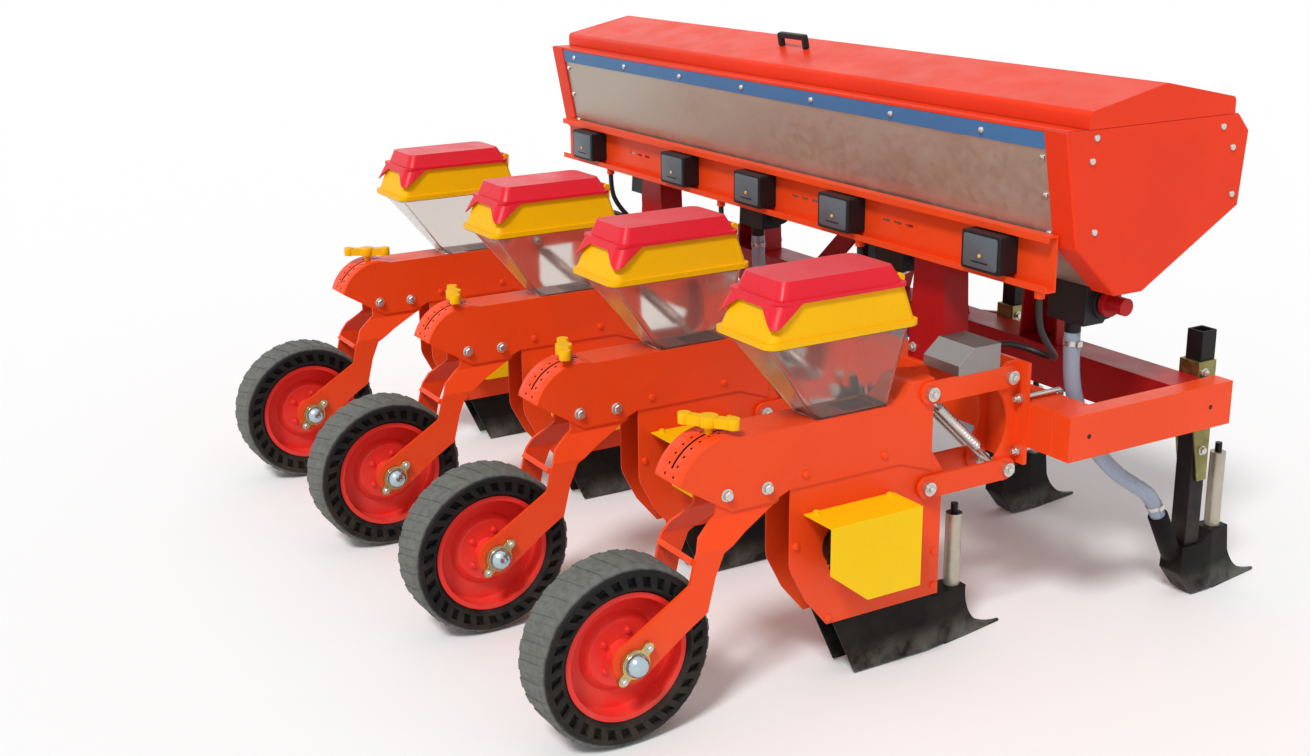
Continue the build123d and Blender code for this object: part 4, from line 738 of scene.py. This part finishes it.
def ring_tree():
    sockets = [("Pitch", "Object", None), ("Count", "Int", None), ("Hub", "Vector", None)]
    tree, given, made = shape_tree("ring", sockets)
    shape = add(tree, "GeometryNodeObjectInfo", {"Object": given["Pitch"]}).outputs["Geometry"]
    points = add(tree, "GeometryNodePoints", {"Count": given["Count"], "Position": given["Hub"]}).outputs[0]
    step = calc(tree, "DIVIDE", 2 * pi, given["Count"])
    turn = calc(tree, "MULTIPLY", add(tree, "GeometryNodeInputIndex").outputs[0], step)
    euler = add(tree, "ShaderNodeCombineXYZ", {"X": turn}).outputs[0]
    rotation = add(tree, "FunctionNodeEulerToRotation", {0: euler}).outputs[0]
    copying = {"Points": points, "Instance": shape, "Rotation": rotation}
    copies = add(tree, "GeometryNodeInstanceOnPoints", copying).outputs[0]
    real = add(tree, "GeometryNodeRealizeInstances", {0: copies}).outputs[0]
    skin = add(tree, "GeometryNodeMergeByDistance", {"Geometry": real, "Distance": MERGE_GAP}).outputs[0]
    finish_tree(tree, skin, given, made)
    return tree


def grown_alone(tree, values):
    """The mesh of a tree that starts from nothing."""
    return grown(link(bpy.data.meshes.new("start"), "start"), tree, values)


def ring_mesh(pitch, count, hub, finish):
    """A pitch repeated round an axle, as a mesh whose faces point outwards."""
    mesh = grown_alone(RING, {"Pitch": pitch, "Count": count, "Hub": hub, "Finish": finish})
    shape = bmesh.new()
    shape.from_mesh(mesh)
    bmesh.ops.recalc_face_normals(shape, faces=shape.faces)
    shape.to_mesh(mesh)
    shape.free()
    return mesh


RING = ring_tree()
print("tree", RING.name, "with", len(RING.nodes), "nodes")

# %% Tyres on their wheels
for number, hub in zip(ROW_NUMBERS, HUBS):
    tyre_mesh = ring_mesh(PITCH, PITCHES, hub, finishes["tyre_rubber"])
    smooth(tyre_mesh)
    tyre_piece = placed(tyre_mesh, f"press_tyre_{number}", f"wheel_{number}")
    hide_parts(f"tyre_{number}")

# %% [markdown]
# ## Springs
# Two tension springs pull each row unit down between its parallel links. A coil is a circle swept along a
# spiral, which Geometry Nodes have as a ready curve. It is made once, standing up, and then put on the
# eight springs along their own slant.

# %% Coils
# the links' pins: y from the axle, rear first, and z, upper first
LINK_YS, LINK_ZS = (0.721, 0.938), (0.599, 0.392)
SPRING_X = 0.018
COIL_START, COIL_L = 0.070, 0.155
COIL_R, WIRE_R, COIL_TURNS = 0.0102, 0.0021, 32.0
COIL_STEPS, WIRE_STEPS = 12, 6


def coil_tree():
    sockets = [("Turns", "Float", COIL_TURNS), ("Length", "Float", COIL_L), ("Coil radius", "Float", COIL_R),
               ("Wire radius", "Float", WIRE_R)]
    tree, given, made = shape_tree("coil", sockets)
    turning = {"Resolution": COIL_STEPS, "Rotations": given["Turns"], "Height": given["Length"],
               "Start Radius": given["Coil radius"], "End Radius": given["Coil radius"]}
    spiral = add(tree, "GeometryNodeCurveSpiral", turning).outputs[0]
    circle = {"Resolution": WIRE_STEPS, "Radius": given["Wire radius"]}
    wire = add(tree, "GeometryNodeCurvePrimitiveCircle", circle).outputs[0]
    sweep = {"Curve": spiral, "Profile Curve": wire, "Fill Caps": True}
    finish_tree(tree, add(tree, "GeometryNodeCurveToMesh", sweep).outputs[0], given, made)
    return tree


COIL = bpy.data.objects.new("coil", grown_alone(coil_tree(), {"Finish": finishes["zinc"]}))
spring_top, spring_foot = (Vector(end) for end in zip(LINK_YS, LINK_ZS))
slant = (spring_foot - spring_top).normalized()
coil_end = spring_top + slant * COIL_START
coil_points = [((hub.x + x, AXLE_Y + coil_end.x, coil_end.y), (0, slant.x, slant.y), 1.0)
               for hub in HUBS for x in (-SPRING_X, SPRING_X)]
scatter("spring_coils", COIL, coil_points, "zinc")

# %% [markdown]
# ## Bolts
# Every joint of sheet and bar is bolted. A bolt is a round washer with a chamfered hexagon head on it, and
# a screw has a domed head. Both are drawn with a radius of one and scaled to their own. The tables give,
# for one side of one row unit, the distance from the unit's middle, y from the axle, z and the radius.

# %% Bolt shapes
# outlines from the foot up, as (radius, height)
WASHER_SIDE = [(1.0, -0.1), (1.0, 0.16), (0.92, 0.22), (0.74, 0.22)]
HEAD_SIDE = [(0.78, 0.2), (0.78, 0.72), (0.66, 0.84), (0.3, 0.86)]
SCREW_SIDE = [(1.0, -0.1), (1.0, 0.2), (0.86, 0.5), (0.5, 0.68), (0.15, 0.72)]
WASHER_STEPS, HEAD_STEPS, SCREW_STEPS = 18, 6, 14


def bolt_shape():
    shape = bmesh.new()
    shape.from_mesh(turned_shape("washer", WASHER_SIDE, WASHER_STEPS).data)
    shape.from_mesh(turned_shape("head", HEAD_SIDE, HEAD_STEPS).data)
    return pattern(shape, "bolt")


BOLT = bolt_shape()
SCREW = turned_shape("screw", SCREW_SIDE, SCREW_STEPS)
print("bolt", len(BOLT.data.polygons), "faces, screw", len(SCREW.data.polygons), "faces")

# %% Bolts on the row units
RIGHT, LEFT = Vector((1, 0, 0)), Vector((-1, 0, 0))
SIDES = ((1, RIGHT), (-1, LEFT))
BODY_HALF, HOUSING_HALF, PIN_END, BEARING_FACE, GUARD_X = 0.048, 0.0437, 0.0663, 0.082, 0.056
BODY_BOLT_R, PIN_BOLT_R, EAR_BOLT_R, SMALL_R = 0.0135, 0.0105, 0.008, 0.0085
# how far a bolt in the bearing's ear lies from the axle, both along and up
EAR_SHIFT = 0.0283
UNIT_BOLTS = [(BODY_HALF, 0.226, 0.476, BODY_BOLT_R), (BODY_HALF, 0.320, 0.472, BODY_BOLT_R)]
UNIT_BOLTS += [(PIN_END, y, z, PIN_BOLT_R) for y in LINK_YS for z in LINK_ZS]
UNIT_BOLTS += [(BEARING_FACE, shift, AXLE_Z + shift, EAR_BOLT_R) for shift in (EAR_SHIFT, -EAR_SHIFT)]
UNIT_SCREWS = [(BODY_HALF, 0.413, 0.482, SMALL_R), (BODY_HALF, 0.609, 0.484, SMALL_R),
               (HOUSING_HALF, 0.478, 0.152, SMALL_R), (HOUSING_HALF, 0.754, 0.160, SMALL_R),
               (HOUSING_HALF, 0.754, 0.238, SMALL_R), (HOUSING_HALF, 0.394, 0.330, SMALL_R)]
GUARD_BOLTS = [(GUARD_X, 0.434, 0.396, SMALL_R), (GUARD_X, 0.620, 0.396, SMALL_R)]


def on_units(table):
    """The table's places on both sides of every row unit."""
    points = []
    for hub in HUBS:
        for sign, aim in SIDES:
            points += [((hub.x + sign * x, AXLE_Y + y, z), aim, size) for x, y, z, size in table]
    return points


scatter("unit_bolts", BOLT, on_units(UNIT_BOLTS), "zinc")
scatter("unit_screws", SCREW, on_units(UNIT_SCREWS), "frame_paint")
guard_points = [((hub.x + x, AXLE_Y + y, z), UP, size) for hub in HUBS for x, y, z, size in GUARD_BOLTS]
scatter("guard_bolts", BOLT, guard_points, "yellow_metal")

# %% Bolts on the wheels
RIM_BOLTS, RIM_BOLT_CIRCLE, RIM_BOLT_R, DISH_FACE = 5, 0.048, 0.0075, 0.022
for number, hub in zip(ROW_NUMBERS, HUBS):
    rim_points = []
    for sign, aim in SIDES:
        for k in range(RIM_BOLTS):
            turn = 2 * pi * k / RIM_BOLTS
            offset = Vector((sign * DISH_FACE, RIM_BOLT_CIRCLE * cos(turn), RIM_BOLT_CIRCLE * sin(turn)))
            rim_points.append((hub + offset, aim, RIM_BOLT_R))
    scatter(f"rim_bolts_{number}", BOLT, rim_points, "rim_red", f"wheel_{number}")

# %% [markdown]
# ## Hopper
# Screws hold the hopper's end caps and its blue strip, and the sheet along the caps. The rear wall leans,
# so its screws are placed by how far they lie below the wall's top edge, and they aim along its normal.
# A folded red strip covers the raw top edge of that wall, just behind the lid. Places on the hopper are y
# from the axle and z.

# %% Screws on the hopper
CAP_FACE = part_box("hopper_end_caps")[1].x
CAP_SCREWS = [(1.000, 1.116), (1.362, 1.108), (0.992, 1.070), (1.396, 1.062), (1.405, 0.962), (1.010, 0.925)]
WALL_TOP, WALL_KNEE = Vector((0.926, 1.132)), Vector((0.970, 0.895))
WALL_EDGE_X = CAP_FACE - 0.080
STRIP_MIDDLE, STRIP_FACE = 0.024, 0.0025
STRIP_SCREWS = [-0.96 + 0.30 * k for k in range(7)]
EDGE_SCREWS = [0.060, 0.140, 0.222]
SCREW_R = 0.0075
wall_down = (WALL_KNEE - WALL_TOP).normalized()
wall_out = Vector((wall_down.y, -wall_down.x))
WALL_AIM = Vector((0, wall_out.x, wall_out.y))


def on_rear_wall(x, below, proud=0.0):
    spot = WALL_TOP + wall_down * below + wall_out * proud
    return (x, AXLE_Y + spot.x, spot.y), WALL_AIM, SCREW_R


hopper_points = [on_rear_wall(x, STRIP_MIDDLE, STRIP_FACE) for x in STRIP_SCREWS]
for sign, aim in SIDES:
    hopper_points += [((sign * CAP_FACE, AXLE_Y + y, z), aim, SCREW_R) for y, z in CAP_SCREWS]
    hopper_points += [on_rear_wall(sign * WALL_EDGE_X, below) for below in EDGE_SCREWS]
scatter("hopper_screws", SCREW, hopper_points, "zinc")

# %% Red edge strip on the hopper's rim
TRIM_T, TRIM_LIP, TRIM_EDGE = 0.0014, 0.005, 0.0004
RIM_INNER = 0.9755
LIP_END, RIM_END = CAP_FACE - 0.068, CAP_FACE - 0.007


def bar_between(shape, low, high):
    """A square-edged bar between two corners, added to a shape."""
    middle, span = (Vector(low) + Vector(high)) / 2, Vector(high) - Vector(low)
    matrix = Matrix.Translation(middle) @ Matrix.Diagonal((*span, 1.0))
    bmesh.ops.create_cube(shape, size=1.0, matrix=matrix)


def round_edges(shape, edges, width, steps=2):
    bmesh.ops.bevel(shape, geom=edges, offset=width, segments=steps, affect="EDGES", profile=0.5)


def rim_trim():
    """A folded strip that lies on the rim, with a narrow lip down the rear wall."""
    shape = bmesh.new()
    rear, inner, top = AXLE_Y + WALL_TOP.x, AXLE_Y + RIM_INNER, WALL_TOP.y + TRIM_T
    bar_between(shape, (-RIM_END, rear, WALL_TOP.y), (RIM_END, inner, top))
    bar_between(shape, (-LIP_END, rear - TRIM_T, WALL_TOP.y - TRIM_LIP), (LIP_END, rear + TRIM_T, top))
    round_edges(shape, list(shape.edges), TRIM_EDGE)
    mesh = mesh_of(shape, "rim_trim")
    mesh.materials.append(finishes["hopper_red"])
    smooth(mesh)
    return placed(mesh, "rim_trim", BODY)


rim_trim()

# %% [markdown]
# ## Frame
# The fertiliser openers hang in clamps on the front beam, the hitch mast and its lower plates are bolted
# on, and the hopper stands on four posts. All take the same bolt, so one scatter does for them. Each
# table gives y from the axle and z, on the outer face whose distance from the middle comes with it.

# %% Bolts on the frame
REAR, AHEAD = Vector((0, -1, 0)), Vector((0, 1, 0))
FRAME_BOLT_R, POST_BOLT_R = 0.011, 0.012
OPENER_SHIFT = 0.110
CHEEK_FACE, CHEEK_BOLTS = 0.0288, [(1.438, 0.546), (1.438, 0.452), (1.452, 0.360)]
MAST_FACE, MAST_BOLTS = 0.042, [(1.352, 0.592), (1.396, 0.592)]
HITCH_FACE, HITCH_BOLTS = 0.3415, [(1.440, 0.518), (1.440, 0.462), (1.490, 0.490)]
POST_X, POST_BOLT_X, POST_BOLT_Z = 0.620, 0.046, 0.566
POST_FACES = ((0.988, REAR), (1.406, AHEAD))
frame_points = [((hub.x + OPENER_SHIFT + sign * CHEEK_FACE, AXLE_Y + y, z), aim, FRAME_BOLT_R)
                for hub in HUBS for sign, aim in SIDES for y, z in CHEEK_BOLTS]
for sign, aim in SIDES:
    for face, table in ((MAST_FACE, MAST_BOLTS), (HITCH_FACE, HITCH_BOLTS)):
        frame_points += [((sign * face, AXLE_Y + y, z), aim, FRAME_BOLT_R) for y, z in table]
    for y, facing in POST_FACES:
        for shift in (-POST_BOLT_X, POST_BOLT_X):
            frame_points.append(((sign * POST_X + shift, AXLE_Y + y, POST_BOLT_Z), facing, POST_BOLT_R))
scatter("frame_bolts", BOLT, frame_points, "zinc")

# %% [markdown]
# ## Monitors
# Each black box on the bar has a slate front plate with an amber lamp and a narrow slot under it. The slot
# is painted shade: a thin black bar on the plate stands in for its dark inside. The plate is a box with
# rounded corners, made by bevelling its upright edges and then its rim, and all five come from one scatter.

# %% Monitor plates, lamps and slots
BOX_X = [-0.880, -0.365, 0.0, 0.365, 0.880]
BOX_LOW, BOX_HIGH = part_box("monitor_boxes")
# width, height, depth, corner and rim of a plate and of its slot
PLATE_SIZES = (0.104, 0.070, 0.004, 0.006, 0.001)
SLOT_SIZES = (0.050, 0.0035, 0.0048, 0.0012, 0.0004)
LAMP_SIDE, LAMP_STEPS = [(0.0045, 0.0), (0.0045, 0.0035), (0.0032, 0.0048), (0.001, 0.0052)], 12
CORNER_STEPS = 4
LAMP_DROP, SLOT_DROP = 0.008, 0.022
SLATE = plastic("monitor_slate", srgb(84, 93, 102), gloss=0.38, mottle=0.08)
AMBER = plastic("lamp_amber", srgb(226, 176, 92), gloss=0.2, mottle=0.02)


def rounded_plate(name, width, height, depth, corner, rim):
    """A plate that faces +Z, with rounded corners and a soft rim."""
    shape = bmesh.new()
    bmesh.ops.create_cube(shape, size=1.0, matrix=Matrix.Diagonal((width, height, depth, 1.0)))
    upright = [e for e in shape.edges if abs(e.verts[0].co.z - e.verts[1].co.z) > depth / 2]
    round_edges(shape, upright, corner, CORNER_STEPS)
    top = [e for e in shape.edges if all(v.co.z > 0 for v in e.verts)]
    round_edges(shape, top, rim)
    return pattern(shape, name)


def on_boxes(drop):
    """A point on the rear face of each box, so far below its middle."""
    z = (BOX_LOW.z + BOX_HIGH.z) / 2 - drop
    return [((x, BOX_LOW.y, z), REAR, 1.0) for x in BOX_X]


PLATE, SLOT = rounded_plate("plate", *PLATE_SIZES), rounded_plate("plate_slot", *SLOT_SIZES)
LAMP = turned_shape("lamp", LAMP_SIDE, LAMP_STEPS)
scatter("monitor_plates", PLATE, on_boxes(0.0), "black_plastic", finish=SLATE)
scatter("monitor_lamps", LAMP, on_boxes(LAMP_DROP), "black_plastic", finish=AMBER)
# painted shade: a thin black bar stands in for the shaded inside of each slot
scatter("monitor_slots", SLOT, on_boxes(SLOT_DROP), "black_plastic")

# %% [markdown]
# ## Drive sprockets
# Behind each yellow guard a chain drives the seed meter. The guard is open at the rear, so the toothed
# wheel shows. Its teeth are one tapered block, put round the rim by the same ring tree as the tyres.

# %% Sprocket teeth
TEETH = 26
# from the point on the ground under the row's axle
GEAR_PLACE = Vector((0.0852, 0.505, 0.312))
GEAR_R, TOOTH_H, TOOTH_HALF = 0.0575, 0.0065, 0.0035
FOOT_HALF, TIP_HALF, TIP_TAPER = 0.8 * pi * GEAR_R / TEETH, 0.0018, 0.7


def sprocket_tooth():
    shape = bmesh.new()
    corners = [(-1, -1), (1, -1), (1, 1), (-1, 1)]
    low = [shape.verts.new((x * TOOTH_HALF, GEAR_R, z * FOOT_HALF)) for x, z in corners]
    high = [shape.verts.new((x * TOOTH_HALF * TIP_TAPER, GEAR_R + TOOTH_H, z * TIP_HALF)) for x, z in corners]
    for k in range(4):
        shape.faces.new((low[k], low[(k + 1) % 4], high[(k + 1) % 4], high[k]))
    shape.faces.new(high)
    shape.faces.new(list(reversed(low)))
    return pattern(shape, "tooth")


TOOTH = sprocket_tooth()
for number, hub in zip(ROW_NUMBERS, HUBS):
    gear_hub = Vector((hub.x, AXLE_Y, 0)) + GEAR_PLACE
    gear_mesh = ring_mesh(TOOTH, TEETH, gear_hub, finishes["black_metal"])
    placed(gear_mesh, f"sprocket_teeth_{number}", BODY)

# %% [markdown]
# ## Hose clips
# A steel clip holds each end of a fertiliser hose. It is a thin band with the small housing of its screw on
# one side. All eight are alike, so one clip is drawn and scattered, turned to the hose where it sits.

# %% Hose clips
HOSE_D = 0.036
CLIP_HALF, CLIP_T, CLIP_STEPS = 0.0055, 0.0012, 24
SCREW_BOX_IN, SCREW_BOX_OUT, SCREW_BOX_HALF = 0.001, 0.006, 0.007
# each clip's place from the row's middle, the axle and the ground, and the way the hose runs there
CLIP_PLACES = [((0.0601, 1.1041, 0.650), (0, 0, 1)), ((OPENER_SHIFT, 1.3435, 0.2404), (0, 0.517, -0.856))]


def clip_shape():
    outer, inner = HOSE_D / 2 + CLIP_T, HOSE_D / 2 - CLIP_T
    band = [(inner, -CLIP_HALF), (outer, -CLIP_HALF), (outer, CLIP_HALF), (inner, CLIP_HALF)]
    low = (outer - SCREW_BOX_IN, -SCREW_BOX_HALF, -CLIP_HALF)
    high = (outer + SCREW_BOX_OUT, SCREW_BOX_HALF, CLIP_HALF)
    shape = bmesh.new()
    shape.from_mesh(turned_shape("band", band, CLIP_STEPS, hollow=True).data)
    bar_between(shape, low, high)
    return pattern(shape, "clip")


clip_points = [((hub.x + x, AXLE_Y + y, z), aim, 1.0) for hub in HUBS for (x, y, z), aim in CLIP_PLACES]
scatter("hose_clips", clip_shape(), clip_points, "zinc")

# %% [markdown]
# ## Hoses and cables
# Each fertiliser hose hangs from its meter's spout, bends forward under the frame and ends in the socket
# of its opener. Each cable leaves the controller on a unit's upper links and rises to the gland under the
# monitor bar. Both are smooth splines led by a handful of points: x from the row's middle, y from the axle
# and z. A spline bends evenly, as a hose does, and its own length can be read off it.

# %% Cords
CABLE_D = 0.014
CORD_ROUNDNESS, CORD_STEPS = 5, 10
METER_SHIFT, GLAND_SHIFT = 0.060, 0.120
HOSE_ROUTE = [(METER_SHIFT, 1.104, 0.674), (METER_SHIFT, 1.104, 0.592), (0.072, 1.117, 0.505),
              (0.088, 1.158, 0.410), (0.100, 1.224, 0.338), (OPENER_SHIFT, 1.294, 0.292),
              (OPENER_SHIFT, 1.3330, 0.2630), (OPENER_SHIFT, 1.358, 0.214)]
CABLE_ROUTE = [(0, 0.921, 0.6566), (0, 0.968, 0.6566), (0.020, 1.016, 0.6410), (0.070, 1.034, 0.6300),
               (0.114, 1.008, 0.6440), (0.124, 0.966, 0.6850), (GLAND_SHIFT, 0.944, 0.7300),
               (GLAND_SHIFT, 0.944, 0.783)]


def cord(name, row_x, route, diameter, finish, replaced):
    curve = bpy.data.curves.new(name, "CURVE")
    curve.dimensions = "3D"
    curve.bevel_depth = diameter / 2
    curve.bevel_resolution = CORD_ROUNDNESS
    curve.use_fill_caps = True
    spline = curve.splines.new("NURBS")
    spline.points.add(len(route) - 1)
    spots = [Vector((row_x + x, AXLE_Y + y, z)) for x, y, z in route]
    for point, spot in zip(spline.points, spots):
        point.co = (*spot, 1.0)
    spline.order_u = 3
    spline.use_endpoint_u = True
    spline.resolution_u = CORD_STEPS
    curve.materials.append(finishes[finish])
    piece = link(curve, name)
    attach(piece, BODY)
    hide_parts(replaced)


for number, hub in zip(ROW_NUMBERS, HUBS):
    cord(f"hose_{number}", hub.x, HOSE_ROUTE, HOSE_D, "hose_clear", f"fert_hose_{number}")
    cord(f"cable_{number}", hub.x, CABLE_ROUTE, CABLE_D, "cable_black", f"unit_cable_{number}")

# %% [markdown]
# ## Studio
# A pale floor and soft light, so that a colour renders about as it is written. One broad sun stands behind
# the machine's right shoulder, where the photograph has it, and the white surroundings fill the shade.
# The camera, gloss and glass see plain white, and everything else sees a dimmer fill light.

# %% Studio
FILL, SUN = 0.55, 2.15
SUN_TURN, SUN_SLOPE, SUN_WIDTH = radians(36), radians(50), radians(12)
WHITE = (1.0, 1.0, 1.0, 1.0)
FLOOR_R, FLOOR_STEPS = 60, 64
FLOOR_PALE, FLOOR_ROUGHNESS = (0.92, 0.92, 0.92, 1), 0.8


def studio_world():
    world = bpy.data.worlds.new("studio")
    world.use_nodes = True
    tree = world.node_tree
    tree.nodes.clear()
    rays = add(tree, "ShaderNodeLightPath").outputs
    shown = calc(tree, "MAXIMUM", rays["Is Camera Ray"], rays["Is Glossy Ray"])
    shown = calc(tree, "MAXIMUM", shown, rays["Is Transmission Ray"])
    fill = add(tree, "ShaderNodeBackground", {"Color": WHITE, "Strength": FILL}).outputs[0]
    plain = add(tree, "ShaderNodeBackground", {"Color": WHITE, "Strength": 1.0}).outputs[0]
    mixed = add(tree, "ShaderNodeMixShader", {0: shown, 1: fill, 2: plain}).outputs[0]
    add(tree, "ShaderNodeOutputWorld", {"Surface": mixed})
    return world


def studio_floor():
    shape = bmesh.new()
    bmesh.ops.create_circle(shape, cap_ends=True, segments=FLOOR_STEPS, radius=FLOOR_R)
    floor = link(mesh_of(shape, "floor"), "floor")
    material = bpy.data.materials.new("floor")
    material.use_nodes = True
    surface = material.node_tree.nodes["Principled BSDF"]
    surface.inputs["Base Color"].default_value = FLOOR_PALE
    surface.inputs["Roughness"].default_value = FLOOR_ROUGHNESS
    floor.data.materials.append(material)


def studio_sun():
    lamp = bpy.data.lights.new("sun", "SUN")
    lamp.energy = SUN
    lamp.angle = SUN_WIDTH
    sun = link(lamp, "sun")
    sun.rotation_euler = direction(SUN_TURN, SUN_SLOPE).to_track_quat("Z", "Y").to_euler()


bpy.context.scene.world = studio_world()
bpy.context.scene.view_settings.view_transform = "Standard"
studio_floor()
studio_sun()
print("sun of", SUN, "and fill of", FILL)
